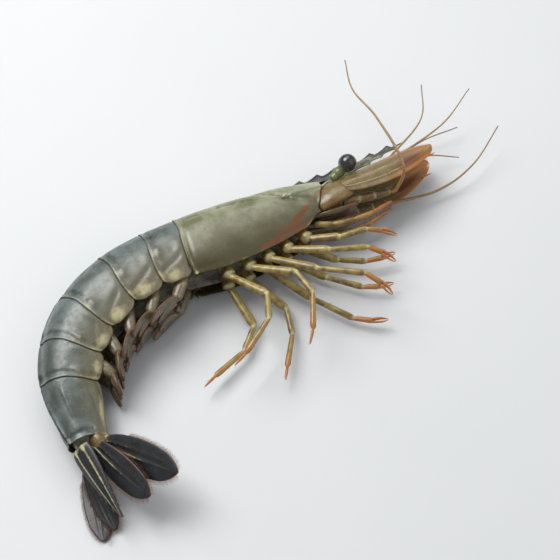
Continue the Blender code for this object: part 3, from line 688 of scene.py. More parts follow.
def carapace_finish(scene):
    # Wet calcified chitin: grey-green clouds with fine dark specks, turning brown-olive towards the lower edge; that
    # darkening from about a fifth of the way round is partly pigment, partly painted shade.
    sizes, hues = scene.prawn_sizes, scene.prawn_colours
    return chitin("wet_carapace_chitin", hues.back, hues.flank, hues.cheek, hues.cream, hues.rust, hues.ink_and_shade,
                  sizes.cloud * 1.3, sizes.speck, speckled=0.11, low_from=0.22)


def abdomen_finish(scene):
    # Thinner wet chitin over grey muscle: slate blue, with taupe lobes and cream margins; the pale on the raised rear
    # lips is partly painted highlight, and the grooves are darkened as painted shade.
    sizes, hues = scene.prawn_sizes, scene.prawn_colours
    return chitin("wet_abdomen_chitin", hues.tail_back, hues.tail_flank, hues.tail_edge, hues.cream, hues.rust,
                  hues.ink_and_shade, sizes.cloud, sizes.speck, speckled=0.14, low_from=0.42, gloss=(0.32, 0.50), film=0.34)


def scale_finish(scene):
    # Thin tanned chitin of the antennal scales: olive, cream ribs, orange to rust at the tip.
    sizes, hues = scene.prawn_sizes, scene.prawn_colours
    return chitin("tanned_scale_chitin", hues.olive, hues.straw_deep, hues.olive, hues.cream, hues.orange, hues.russet,
                  sizes.cloud * 0.6, sizes.speck, speckled=0.30, depth=0.2)


def leg_finish(scene):
    # Clear jointed chitin of the legs: straw and olive, orange and crimson towards the tips, and a painted highlight
    # along their upper side.
    sizes, hues = scene.prawn_sizes, scene.prawn_colours
    return chitin("clear_leg_chitin", hues.straw, hues.straw_deep, hues.straw, hues.cream, hues.orange, hues.russet,
                  sizes.cloud * 0.5, sizes.speck, speckled=0.25, gloss=(0.24, 0.42), depth=0.3)


def whisker_finish(scene):
    # Horny ringed chitin of the whiskers: pink-brown with darker rings.
    sizes, hues = scene.prawn_sizes, scene.prawn_colours
    return chitin("ringed_whisker_chitin", hues.whisker, hues.straw, hues.whisker, hues.cream, hues.orange,
                  hues.whisker_deep, sizes.cloud * 0.5, sizes.speck, speckled=0.25, gloss=(0.30, 0.45),
                  rings=sizes.ring)


def swimmeret_finish(scene):
    # Soft thin chitin of the swimmerets: taupe and red-brown with crimson edges.
    sizes, hues = scene.prawn_sizes, scene.prawn_colours
    return chitin("soft_swimmeret_chitin", hues.paddle, hues.paddle_deep, hues.paddle, hues.cream, hues.crimson,
                  hues.ink_and_shade, sizes.cloud * 0.5, sizes.speck, speckled=0.35, gloss=(0.24, 0.44), depth=0.25)


def tail_finish(scene):
    # Thick dark tail chitin: near-black with navy clouds, cream ribs and a rusty rim.
    sizes, hues = scene.prawn_sizes, scene.prawn_colours
    return chitin("dark_tail_chitin", hues.night, hues.night_blue, hues.night, hues.cream, hues.crimson, hues.ink_and_shade,
                  sizes.cloud * 0.7, sizes.speck, speckled=0.08, low_from=0.98, gloss=(0.36, 0.52), film=0.15, depth=0.04)


def flesh_finish(scene):
    # Wet soft skin of the underside: grey-cream, translucent, with brown folds, and painted shade between its bars and
    # leg roots.
    sizes, hues = scene.prawn_sizes, scene.prawn_colours
    return chitin("wet_belly_skin", hues.flesh, hues.flesh_deep, hues.flesh, hues.cream, hues.rust, hues.ink_and_shade,
                  sizes.cloud * 0.6, sizes.speck, speckled=0.3, gloss=(0.26, 0.45), depth=0.35)


def bristle_finish(scene):
    # Fine horny bristles, wet and clumped: red-brown with paler lengths.
    sizes, hues = scene.prawn_sizes, scene.prawn_colours
    return chitin("horny_bristles", hues.bristle, hues.rust, hues.bristle, hues.cream, hues.crimson, hues.ink_and_shade,
                  sizes.cloud * 0.3, sizes.speck, speckled=0.2, gloss=(0.35, 0.5), film=0.2)


def eye_finish(scene):
    # Clear cornea over black facets: a deep gloss with a faint net in it.
    name = "black_cornea"
    made = bpy.data.materials.new(name)
    made.use_nodes = True
    tree = made.node_tree
    shader = tree.nodes["Principled BSDF"]
    hues = scene.prawn_colours
    place = add(tree, "ShaderNodeTexCoord").outputs["Object"]
    tone = add(tree, "ShaderNodeAttribute", attribute_name="tone").outputs["Vector"]
    marks = add(tree, "ShaderNodeSeparateXYZ", {0: tone}).outputs
    # Facets are drawn ten times as coarse as the real ones so that they show.
    facets = add(tree, "ShaderNodeTexVoronoi", {"Vector": place, "Scale": per(0.00030)}, feature="F1")
    net = add(tree, "ShaderNodeMapRange", {"Value": facets.outputs["Distance"], "To Min": 0.0, "To Max": 0.35})
    stalk = add(tree, "ShaderNodeMix", {0: net.outputs["Result"], 6: (*linear("1B1C1D"), 1.0),
                                       7: (*linear("55554C"), 1.0)}, data_type="RGBA")
    look = add(tree, "ShaderNodeMix", {0: marks["X"], 6: stalk.outputs[2], 7: (*hues.flank, 1.0)}, data_type="RGBA")
    bump = add(tree, "ShaderNodeBump", {"Height": facets.outputs["Distance"], "Distance": 0.00001, "Strength": 0.3})
    rough_map = add(tree, "ShaderNodeMapRange", {"Value": marks["X"], "To Min": 0.16, "To Max": 0.4})
    tree.links.new(look.outputs[2], shader.inputs["Base Color"])
    tree.links.new(bump.outputs["Normal"], shader.inputs["Normal"])
    tree.links.new(rough_map.outputs["Result"], shader.inputs["Roughness"])
    shader.inputs["Coat Weight"].default_value = 0.6
    shader.inputs["Coat Roughness"].default_value = 0.10
    return made


# ---------------------------------------------------------------- shell

def line_distance(distance, around, points):
    """Metres along the skin from a place to a line through (distance, share round) points."""
    spot = Vector((distance, around * HALF_GIRTH))
    corners = [Vector((along, share * HALF_GIRTH)) for along, share in points]
    reaches = []
    for start, end in zip(corners, corners[1:]):
        _, t = geometry.intersect_point_line(spot, start, end)
        reaches.append((spot - start.lerp(end, min(max(t, 0.0), 1.0))).length)
    return min(reaches)


def line_relief(distance, around):
    """Height of the carapace's ridges and grooves at a place, and how deep in a groove it is, used to darken the
    grooves as painted shade.
    """
    height, groove_shade = 0.0, 0.0
    for rise, half_width, points in CARAPACE_LINES:
        raised = bell(line_distance(distance, around, points), 0.0, half_width)
        height += rise * raised
        if rise < 0.0:
            groove_shade = max(groove_shade, raised)
    return height, groove_shade


def front_margin(around):
    """Distance of the carapace's front margin, slanted back below and notched for the eye."""
    corner = max(0.0, around - CORNER_START) / (LOWER_EDGE - CORNER_START)
    slant = FRONT_SLANT * (1.0 - cos(around * pi)) / 2.0
    return slant + SOCKET_NOTCH * hump(around, 0.27, 0.14) + CORNER_DEPTH * corner**3


def carapace_place(u, v):
    """Skin of the carapace at shares along it and across it from the left edge to the right."""
    angle = (2.0 * v - 1.0) * LOWER_EDGE * pi
    around = abs(angle) / pi
    front, rear = front_margin(around), margin(0, around)
    distance = front + (rear - front) * u
    behind = rear - distance
    ahead = distance - front
    below = (LOWER_EDGE - around) * HALF_GIRTH
    relief, groove_shade = line_relief(distance, around)
    ridge = 0.0005 * bell(around, 0.0, 0.030) * fade(distance, 0.030, 0.048)
    relief += ridge + LIP * u**4 + 0.00008 * bell(behind, 0.0, 0.0006) - 0.00014 * bell(behind, 0.0019, 0.0006)
    relief += 0.00028 * bell(below, 0.0, 0.0007) - 0.00014 * bell(below, 0.0018, 0.0007)
    relief += 0.00022 * bell(ahead, 0.0, 0.0007)
    height, offset = section(distance, angle, relief)
    point = body_point(distance, height, offset)
    point += (point - body_point(distance, 0.0, 0.0)).normalized() * rough(point, 0.006, 0.00012)
    point.z = max(point.z, HEAD_LOW.z)
    cheek = bell(below, 0.0006, 0.0022) * fade(distance, 0.020, 0.036) + 0.22 * bell(ahead, 0.0, 0.0012)
    cheek += bell(line_distance(distance, around, RUST_STREAK), 0.0, 0.0014)
    # The pale band on the raised rear lip is partly cream margin, partly painted highlight.
    pale = 0.40 * bell(behind, 0.0008, 0.0005) + 0.30 * bell(below, 0.0004, 0.0006)
    pale += 0.42 * bell(distance, 0.0060, 0.0045) * bell(around, 0.31, 0.07)
    torn = 0.60 + 0.32 * noise.noise(point / 0.0032)
    rust = min(1.0, cheek) * (1.0 - fade(around, 0.34, 0.46)) * torn
    ridge_share = 0.02 + 0.17 * fade(distance, 0.010, 0.034)
    dark = 0.84 * fade(around, ridge_share - 0.07, ridge_share + 0.07)
    # Painted shade: darker in the grooves, and a painted shadow along the groove just before the rear margin.
    dark += 0.42 * groove_shade + 0.22 * bell(behind, 0.0022, 0.0007)
    for spot, share in CARAPACE_SPOTS:
        dark += 0.50 * bell(distance, spot, 0.0014) * bell(around, share, 0.030)
    return point, (u, around / LOWER_EDGE, distance * 1000.0), (pale, rust, min(dark, 1.0))


def tooth(share, start, end, count):
    """Saw tooth of height 1 that leans forward, repeated between two shares."""
    if not start <= share < end:
        return 0.0
    part = (share - start) / (end - start) * count % 1.0
    return (part / 0.8) ** 1.6 if part < 0.8 else (1.0 - part) / 0.2


def rostrum(bm):
    """Toothed blade that rises from the carapace's ridge and runs out between the eyes."""
    stations = 150
    sides = 12

    def place(station, index):
        share = station / (stations - 1)
        distance = ROSTRUM_ROOT + (ROSTRUM_TIP[0] - ROSTRUM_ROOT) * share
        top = smooth_row(ROSTRUM_TOP, share)[0] + TOOTH_HEIGHT * tooth(share, 0.04, 0.90, ROSTRUM_TOP_TEETH)
        foot = smooth_row(ROSTRUM_FOOT, share)[0]
        foot -= 0.5 * TOOTH_HEIGHT * tooth(share, 0.64, 0.93, ROSTRUM_BOTTOM_TEETH)
        middle = (smooth_row(ROSTRUM_TOP, share)[0] * 0.45 + smooth_row(ROSTRUM_FOOT, share)[0] * 0.55)
        angle = 2.0 * pi * index / sides
        reach = top - middle if cos(angle) > 0.0 else middle - foot
        half = ROSTRUM_HALF_THICKNESS * (1.25 - 0.95 * share)
        height = middle + reach * cos(angle)
        offset = half * (1.0 if sin(angle) > 0.0 else -1.0) * abs(sin(angle)) ** 1.4
        dark = (1.0 - 0.6 * fade(cos(angle), -0.45, 0.05)) * (0.66 + 0.5 * noise.noise((share * 14.0, cos(angle), 0.0)))
        pale = 0.35 * bell(cos(angle), -0.7, 0.2)
        return body_point(distance, height, offset), (share, 0.2, share * 53.0), (pale, 0.15, dark)

    loft(bm, sides, range(stations), place)


def shell_spine(bm, distance, around, side, length):
    """Small spine that points forward from the carapace's skin."""
    angle = side * around * pi
    height, offset = section(distance, angle, 0.0001)
    root = body_point(distance, height, offset)
    outward = (root - body_point(distance, 0.0, 0.0)).normalized()
    way = (body_frame(distance)[1] * -1.0 + outward * 0.42).normalized()
    groove_shade = 0.55
    spine(bm, root - way * length * groove_shade, way, length * (1.0 + groove_shade), 0.00055, outward * 0.05, (0.5, 0.2, 0.0), sides=10)


class PRAWN_OT_carapace(bpy.types.Operator):
    """Head and chest shell, with its ridges, grooves, spines and toothed rostrum."""

    bl_idname = "prawn.carapace"
    bl_label = "Carapace"

    def execute(self, context):
        finish = carapace_finish(context.scene)
        put("carapace_plate", sheet(96, 88, carapace_place), finish, ("carapace",),
            wall=context.scene.prawn_sizes.wall)
        bm = new_mesh()
        rostrum(bm)
        for side in (1, -1):
            for distance, around, length in CARAPACE_SPINES:
                shell_spine(bm, distance, around, side, length)
        put("rostrum", bm, finish, smooth=0)
        return {"FINISHED"}


def abdomen_place(number, u, v):
    """Skin of an abdomen plate, from the part tucked under the plate before it to its rear margin."""
    angle = (2.0 * v - 1.0) * LOWER_EDGE * pi
    around = abs(angle) / pi
    front, rear = margin(number - 1, around), margin(number, around)
    distance = front - TUCK + (rear - front + TUCK) * u
    share = max(0.0, (distance - front) / (rear - front))
    behind = rear - distance
    below_edge = (LOWER_EDGE - around) * HALF_GIRTH
    tucked = fade(distance - front, -0.0005, 0.0004)
    proud = LIP * share**3 - TUCK_DEPTH * tucked
    proud += 0.00010 * bell(behind, 0.0, 0.0005) - 0.00016 * bell(behind, 0.0016, 0.0006)
    proud += 0.00024 * bell(below_edge, 0.0, 0.0007) - 0.00012 * bell(below_edge, 0.0017, 0.0007)
    hinge = bell(around, 0.505, 0.035) * bell(behind, 0.0022, 0.0014)
    socket = bell(around, 0.505, 0.045) * bell(distance - front, 0.0016, 0.0012)
    fold = bell(around, 0.56 + 0.10 * share, 0.022) * (1.0 - fade(share, 0.05, 0.25)) * fade(share, 0.75, 0.98)
    proud += 0.00055 * hinge + 0.00030 * socket - 0.00034 * fold
    keel = 0.0006 if number >= 4 else 0.00015
    proud += keel * bell(around, 0.0, 0.024) * (1.0 - tucked) * fade(share, 0.9, 1.1)
    if number == 6:
        proud += 0.00030 * bell(around, 0.30, 0.02) * (1.0 - fade(share, 0.1, 0.3)) * fade(share, 0.6, 0.9)
    lift = SCALLOP * (2.0 * share - 1.0) ** 4 * smooth_row(PROFILE, distance)[1]
    if number == 6 and share > 0.5:
        lift = 0.0
    height, offset = section(distance, angle, proud, lift)
    point = body_point(distance, height, offset)
    point += (point - body_point(distance, 0.0, 0.0)).normalized() * rough(point, 0.005, 0.00012) * (1.0 - tucked)
    point.z = max(point.z, HEAD_LOW.z)
    spread = 1.0 + 0.5 * noise.noise(point / 0.0045)
    lobe = bell(around, 0.70, 0.058 * spread) * (0.36 + 0.64 * bell(share, 0.58, 0.27 * spread))
    # The pale band on the raised rear lip is partly cream margin, partly painted highlight.
    pale = 0.36 * bell(behind, 0.0005, 0.0005) + 0.42 * hinge + 0.22 * socket + 0.68 * lobe
    pale += 0.16 * bell(share, 0.42, 0.20) * bell(around, 0.26, 0.16)
    rust = 0.50 * bell(below_edge, 0.0, 0.0010) + 0.28 * fold
    # Painted shade along the groove just before the rear margin and in the pleural fold; the dark back line is pigment.
    dark = 0.24 * bell(behind, 0.0022, 0.0010) + 0.40 * bell(around, 0.0, 0.035) + 0.24 * fold
    dark += (0.28 * bell(share, 0.86, 0.16) + 0.14 * bell(share, 0.20, 0.12)) * fade(around, 0.34, 0.62)
    return point, (share, around / LOWER_EDGE, distance * 1000.0), (min(pale, 1.0), rust, min(dark, 1.0))


class PRAWN_OT_abdomen(bpy.types.Operator):
    """Six overlapping plates of the abdomen, with their lobes, hinges and keel."""

    bl_idname = "prawn.abdomen"
    bl_label = "Abdomen"

    def execute(self, context):
        finish = abdomen_finish(context.scene)
        for number in range(1, 7):
            bm = sheet(44 if number == 6 else 32, 84, lambda u, v, number=number: abdomen_place(number, u, v))
            put(f"abdomen_plate_{number}", bm, finish, (f"abdomen_{number}",),
                wall=context.scene.prawn_sizes.wall)
        return {"FINISHED"}


class PRAWN_OT_flesh(bpy.types.Operator):
    """Soft body inside the shell: the belly's channel with its bars, and the head between the eyes."""

    bl_idname = "prawn.flesh"
    bl_label = "Flesh"

    def execute(self, context):
        sides = 44
        first, last, count = -0.0062, ABDOMEN_END + 0.0018, 136
        bars = [sum(SEGMENT_LENGTHS[:number]) + THORAX_LENGTH + SEGMENT_LENGTHS[number] * 0.5 for number in range(6)]
        bm = new_mesh()

        def place(station, index):
            distance = first + (last - first) * station / (count - 1)
            angle = 2.0 * pi * index / sides
            height, offset = section(max(distance, 0.0), angle, -0.0011)
            opened = 0.55 + 0.40 * (1.0 - fade(distance, -0.005, 0.002))
            closed = 0.55 + 0.42 * fade(distance, ABDOMEN_END - 0.0005, last)
            under = bell(abs(angle - pi), 0.0, 0.55)
            bar = max(bell(distance, middle, 0.0016) for middle in bars)
            coxa = max(bell(distance, middle, 0.0018) for middle in LEG_ROOTS)
            height -= under * (0.0010 * bar + 0.0007 * coxa)
            height, offset = height * opened * closed + 0.001 * (1.0 - opened), offset * opened * closed
            point = body_point(distance, height, offset)
            point.z = max(point.z, HEAD_LOW.z + 0.0004)
            # Pale bars and rusty leg roots; the underside between them is darkened as painted shade.
            tone = (0.6 * under * bar, 0.45 * under * coxa, 0.5 * (1.0 - max(bar, coxa)) * under)
            return point, (station / (count - 1), 0.3, distance * 1000.0), tone

        loft(bm, sides, range(count), place)
        put("belly", bm, flesh_finish(context.scene))
        return {"FINISHED"}


# ---------------------------------------------------------------- head limbs

def path_through(rows, count):
    """Points of a smooth curve through (share, distance, height, offset) rows."""
    return [body_point(*smooth_row(rows, index / (count - 1))) for index in range(count)]


def mirrored(rows, side):
    """Rows of a path on the right, moved to the left where the side is -1."""
    return [(share, distance, height, side * offset) for share, distance, height, offset in rows]


SIDES = ((1, "right"), (-1, "left"))
BACKWARD = Vector((0.0, 1.0, 0.0))


class PRAWN_OT_eyes(bpy.types.Operator):
    """Stalked round eyes."""

    bl_idname = "prawn.eyes"
    bl_label = "Eyes"

    def execute(self, context):
        finish = eye_finish(context.scene)
        for side, word in SIDES:
            root = body_point(EYE_ROOT[0], EYE_ROOT[1], side * EYE_ROOT[2])
            globe = body_point(EYE_CENTRE[0], EYE_CENTRE[1], side * EYE_CENTRE[2])
            globe.z = max(globe.z, HEAD_LOW.z + EYE_RADIUS)
            way = (globe - root).normalized()
            path = [root + way * reach for reach in (0.0, 0.0010, 0.0018, 0.0024, 0.0034)]
            radii = [EYE_STALK_RADIUS * swell for swell in (0.9, 1.05, 0.92, 1.05, 1.2)]
            steps = 22
            for step in range(1, steps + 1):
                angle = pi * (0.14 + 0.855 * step / steps)
                path.append(globe - way * EYE_RADIUS * cos(angle))
                radii.append(EYE_RADIUS * sin(angle) * 0.98)
            bm = new_mesh()
            stalk = (globe - root).length - EYE_RADIUS
            whole = lengths_along(path)[-1]
            tube(bm, path, [(radius, radius) for radius in radii], BACKWARD, 32,
                 lambda share, turn: (fade(share * whole, stalk * 0.9, stalk * 1.4), 0.0, 0.0), soft=False)
            put(f"eye_globe_{word}", bm, finish, (f"eye_{word}",), smooth=0)
        return {"FINISHED"}


def scale_tones(share, x):
    """Cream ribs, a brown-orange tip and edge, and a dark red patch before the tip."""
    fibre = 0.80 + 0.45 * noise.noise((5.0 * x, 2.0 * share, 0.0))
    tip = (1.0 - fade(share + 0.16 * abs(x), 0.36, 0.86)) * fibre
    rib = 0.7 * bell(x, -0.55, 0.12) + 0.9 * bell(x, 0.05, 0.10)
    edge = bell(abs(x), 1.0, 0.20)
    red = bell(share, 0.73, 0.18) * min(1.0, bell(x, -0.38, 0.48) + 0.7 * bell(x, 0.55, 0.22)) * fibre
    orange = min(1.0, 0.72 * tip + 0.50 * edge * share) * (1.0 - 0.75 * red)
    pale = 0.5 * rib * fade(share, 0.5, 0.9) + 0.45 * (1.0 - fade(share, 0.86, 1.0))
    return pale, orange, min(1.0, 0.95 * red) + 0.3 * bell(share, 0.02, 0.06)


def scale_relief(share, x):
    """Upper and lower heights across an antennal scale, domed outwards, with two ribs."""
    half = 0.00042 * (0.25 + 0.75 * (1.0 - abs(x) ** 3))
    dome = 0.00080 * (1.0 - x * x)
    rib = (0.00030 * bell(x, -0.55, 0.10) + 0.00022 * bell(x, 0.05, 0.08)) * fade(share, 0.8, 1.0)
    return dome + half + rib, dome - half - 0.4 * rib


def comb(bm, edge, outward, tailward, spacing, length, radius, seed, tone):
    """Row of bristles along an edge, leaning to `tailward`, a little uneven."""
    draw = Random(seed)
    covered = lengths_along(edge)
    count = int(covered[-1] / spacing)
    for index in range(count):
        reach = covered[-1] * (index + draw.random() * 0.7) / count
        step = next((number for number in range(1, len(edge)) if covered[number] >= reach), len(edge) - 1)
        part = (reach - covered[step - 1]) / max(covered[step] - covered[step - 1], 1e-9)
        root = edge[step - 1].lerp(edge[step], part)
        out = outward[step - 1].lerp(outward[step], part)
        lean = out * draw.uniform(0.65, 1.0) + tailward * draw.uniform(0.35, 0.75)
        lean += Vector((draw.uniform(-0.12, 0.12), draw.uniform(-0.12, 0.12), draw.uniform(-0.12, 0.12)))
        bend = tailward * 0.25
        spine(bm, settle(root), lean.normalized(), length * draw.uniform(0.75, 1.1), radius, bend, tone, sides=3)


def blade_edge(path, across, widths, side, inset=0.97):
    """Points just inside one edge of a blade, and the outward direction at each."""
    ways = headings(path)
    edge, outward = [], []
    for point, way, width in zip(path, ways, widths):
        wide = (across - way * across.dot(way)).normalized()
        edge.append(settle(point + wide * width * side * inset))
        outward.append(wide * side)
    return edge, outward


class PRAWN_OT_scales(bpy.types.Operator):
    """Broad scales beside the rostrum, with ribs, an outer spine and a fringe."""

    bl_idname = "prawn.scales"
    bl_label = "Antennal scales"

    def execute(self, context):
        sizes = context.scene.prawn_sizes
        count = 40
        _, tailward, dorsal, right = body_frame(0.0)
        fringe = new_mesh()
        for side, word in SIDES:
            across = dorsal * cos(radians(SCALE_LEAN)) - right * side * sin(radians(SCALE_LEAN))
            path = path_through(mirrored(SCALE_ROUTE, side), count)
            widths = [SCALE_HALF_WIDTH * smooth_row(SCALE_OUTLINE, index / (count - 1))[0] for index in range(count)]
            bm = new_mesh()
            blade(bm, path, across, widths, lambda share, x: [side * -value for value in scale_relief(share, x)]
                  if side > 0 else scale_relief(share, x), 22, scale_tones)
            root = path_through(mirrored(SCALE_ROOT, side), 16)
            swell = [0.72 + 0.28 * sin(pi * (0.15 + 0.75 * index / 15)) for index in range(16)]
            tube(bm, root, [(0.0050 * width, 0.0026 * width) for width in swell], across, 24,
                 lambda share, turn: (0.20 * bell(turn, 0.2, 0.4), 0.35 * bell(turn, -1.0, 0.5), 0.15))
            tip = path[-6] - across * widths[-6] * 0.8
            spine(bm, tip, -tailward, 0.0042, 0.0005, dorsal * 0.05, (0.0, 1.0, 0.0), sides=8)
            put(f"antennal_leaf_{word}", bm, scale_finish(context.scene),
                (f"antennal_scale_{word}",))
            edge, outward = blade_edge(path[14:], across, widths[14:], 1)
            comb(fringe, edge, outward, -tailward, 0.00030, sizes.hair_length, sizes.bristle_radius, 11 + side,
                 (0.35, 0.0, 0.0))
        put("scale_fringe", fringe, bristle_finish(context.scene), smooth=0)
        return {"FINISHED"}


def whisker(bm, path, thick, thin, ring, sides=8):
    """Ringed whisker: a fine tube that swells at each ring."""
    covered = lengths_along(path)[-1]
    count = max(int(covered / ring * 2.0), 12)
    rows = [(reach / covered, *point) for reach, point in zip(lengths_along(path), path)]
    points, sizes = [], []
    for index in range(count):
        share = index / (count - 1)
        radius = thick + (thin - thick) * share**0.8
        radius *= 1.0 if index % 2 else 0.93
        points.append(Vector(smooth_row(rows, share)))
        sizes.append((radius, radius))
    tube(bm, points, sizes, Vector((0.3, 0.5, 0.8)), sides,
         lambda share, turn: (0.0, 0.7 * bell(share, 0.0, 0.2), 0.5 * bell(share, 1.0, 0.3)))


def stalk_swell(parts, index, count):
    """Radius of a jointed stalk: full along its parts, pinched between them."""
    place = index / (count - 1) * (len(parts) - 1)
    part = min(int(place), len(parts) - 2)
    share = place - part
    radius = parts[part] + (parts[part + 1] - parts[part]) * share
    return radius * (1.0 - 0.30 * bell(share, 0.0, 0.07) - 0.30 * bell(share, 1.0, 0.07))


def stalk_tones(parts):
    """Cream ends and olive middles of the parts of a stalk."""
    def tones(share, turn):
        place = share * parts % 1.0
        joint = bell(place, 0.0, 0.12) + bell(place, 1.0, 0.12)
        return 0.6 * joint, 0.35 * bell(place, 0.8, 0.15), 0.35 * bell(place, 0.45, 0.25)
    return tones


class PRAWN_OT_feelers(bpy.types.Operator):
    """Antennules and antennae: jointed stalks with ringed whiskers."""

    bl_idname = "prawn.feelers"
    bl_label = "Feelers"

    def execute(self, context):
        ring = context.scene.prawn_sizes.ring
        finish = (whisker_finish(context.scene), scale_finish(context.scene))
        for side, word in SIDES:
            bm = new_mesh()
            count = 40
            path = path_through(mirrored(ANTENNULE_ROUTE, side), count)
            swell = [stalk_swell((0.0016, 0.0014, 0.0013, 0.0010), index, count) for index in range(count)]
            tube(bm, path, [(radius * 1.05, radius) for radius in swell], BACKWARD, 16, stalk_tones(3), finish=1)
            for route in ANTENNULE_WHISKERS[side]:
                whisker(bm, path_through(route, 24), 0.00046, 0.00018, ring)
            put(f"antennule_stalk_{word}", bm, finish, (f"antennule_{word}",), smooth=0)
            bm = new_mesh()
            block = path_through(mirrored(ANTENNA_BLOCK, side), 14)
            tube(bm, block, [(0.0026 * (0.82 + 0.18 * sin(pi * index / 13)),) * 2 for index in range(14)], BACKWARD, 18,
                 stalk_tones(1), finish=1)
            path = path_through(mirrored(ANTENNA_STALK, side), count)
            swell = [stalk_swell((0.0019, 0.0017, 0.0016, 0.0011), index, count) for index in range(count)]
            tube(bm, path, [(radius, radius) for radius in swell], BACKWARD, 16, stalk_tones(3), finish=1)
            whisker(bm, path_through(ANTENNA_WHISKERS[side], 60), 0.00064, 0.00020, ring)
            put(f"antenna_stalk_{word}", bm, finish, (f"antenna_{word}",), smooth=0)
        return {"FINISHED"}


# ---------------------------------------------------------------- legs and swimmerets

def swing_way(distance, swing, spread, side):
    """Direction of a limb part that hangs from the belly, swung to the head and spread out."""
    _, tailward, dorsal, right = body_frame(distance)
    hang = -dorsal * cos(radians(swing)) - tailward * sin(radians(swing))
    return hang * cos(radians(spread)) + right * side * sin(radians(spread))


def limb_path(root, distance, side, lengths, swings, spreads):
    """Joint points of a limb, from its root."""
    joints = [root]
    for length, swing, spread in zip(lengths, swings, spreads):
        joints.append(joints[-1] + swing_way(distance, swing, spread, side) * length)
    return joints


def jointed(joints, radii):
    """Points and radii of a limb whose parts start slender, swell towards their ends and pinch at the joints."""
    path, sizes = [joints[0]], [radii[0] * 0.8]
    for index, (start, end) in enumerate(zip(joints, joints[1:])):
        radius = radii[index]
        after = radii[min(index + 1, len(radii) - 1)]
        for share, swell in ((0.06, 0.78), (0.15, 0.90), (0.36, 0.94), (0.62, 1.0), (0.84, 1.08), (0.94, 1.02)):
            path.append(start.lerp(end, share))
            sizes.append(radius * swell)
        path.append(end)
        sizes.append((radius + after) * 0.38)
    return path, sizes


def leg_tones(joints):
    """Pale joints, a painted highlight along the upper side, and orange that grows from the middle of the leg to its
    tip.
    """
    covered = lengths_along(joints)
    shares = [reach / covered[-1] for reach in covered]

    def tones(share, turn):
        joint = max(bell(share, place, 0.014) for place in shares[1:-1])
        collar = max(bell(share, place + 0.035, 0.020) for place in shares[1:-1])
        tip = 1.0 - fade(share, 0.45, 1.05)
        # The pale along the upper side, where turn is 1, is a painted highlight.
        return 0.42 * joint + 0.22 * bell(turn, 1.0, 0.5), 0.72 * tip + 0.34 * collar, 0.30 * collar
    return tones


def hairs(bm, path, sizes, count, length, radius, seed, tone):
    """Scattered bristles on a limb."""
    draw = Random(seed)
    ways = headings(path)
    for _ in range(count):
        index = draw.randrange(len(path) // 4, len(path) - 1)
        root = path[index].lerp(path[index + 1], draw.random())
        out = ways[index].orthogonal().normalized()
        out = Matrix.Rotation(draw.uniform(0.0, 2.0 * pi), 3, ways[index]) @ out
        way = (out + ways[index] * draw.uniform(0.5, 1.1)).normalized()
        spine(bm, settle(root + out * sizes[index] * 0.8), way, length * draw.uniform(0.5, 1.0), radius,
              ways[index] * 0.2, tone, sides=3)


class PRAWN_OT_legs(bpy.types.Operator):
    """Ten walking legs: the first three pairs end in pincers, the last two in claws."""

    bl_idname = "prawn.legs"
    bl_label = "Walking legs"

    def execute(self, context):
        sizes = context.scene.prawn_sizes
        finish = leg_finish(context.scene)
        bristles = new_mesh()
        for number in range(5):
            distance = LEG_ROOTS[number]
            for side, word in SIDES:
                root = body_point(distance, channel_height(distance) - COXA_DEPTH, side * LEG_OFFSET)
                swings = LEG_SWINGS[side][number]
                joints = limb_path(root, distance, side, LEG_LENGTHS[number], swings, LEG_SPREADS[side])
                pincer = number < PINCER_LEGS
                ends = joints[:-1] if pincer else joints
                path, radii = jointed(ends, LEG_RADII)
                radii[-1] = LEG_RADII[3] * (0.9 if pincer else 0.15)
                if not pincer:
                    radii[-5:-1] = [LEG_RADII[4] * swell for swell in (0.95, 0.8, 0.6, 0.42)]
                tones = leg_tones(joints)
                bm = new_mesh()
                whole = lengths_along(joints)[-1]
                part = lengths_along(ends)[-1] / whole
                tube(bm, path, [(radius * 0.88, radius) for radius in radii], UP, 14,
                     lambda share, turn: tones(share * part, turn))
                if pincer:
                    wrist = joints[-2]
                    reach = joints[-1] - wrist
                    splay = reach.cross(UP).normalized()
                    for way, swell in ((-splay, 1.0), (splay, 0.8)):
                        knuckle = wrist - reach * 0.12 + way * 0.00035
                        fingers = [knuckle, wrist + reach * 0.25 + way * 0.0006, wrist + reach * 0.6 + way * 0.00062,
                                   wrist + reach * 0.88 + way * 0.00035, wrist + reach + way * 0.00010]
                        widths = [(0.00052 * swell * taper,) * 2 for taper in (1.0, 1.0, 0.75, 0.42, 0.12)]
                        tube(bm, fingers, widths, UP, 10, lambda share, turn: (0.0, 0.72, 0.30 * share))
                put(f"walking_leg_{number + 1}_{word}", bm, finish, (f"leg_{number + 1}_{word}",), smooth=0)
                hairs(bristles, path, radii, 30, sizes.hair_length, sizes.bristle_radius, number * 2 + side + 40,
                      (0.2, 0.0, 0.0))
        put("leg_bristles", bristles, bristle_finish(context.scene), smooth=0)
        return {"FINISHED"}


def mouth_relief(share, x):
    """Heights across a mouth leaf, with a ridge along its middle."""
    half = 0.0005 * (0.3 + 0.7 * (1.0 - x * x)) + 0.0002 * bell(x, 0.0, 0.25)
    return half, -half


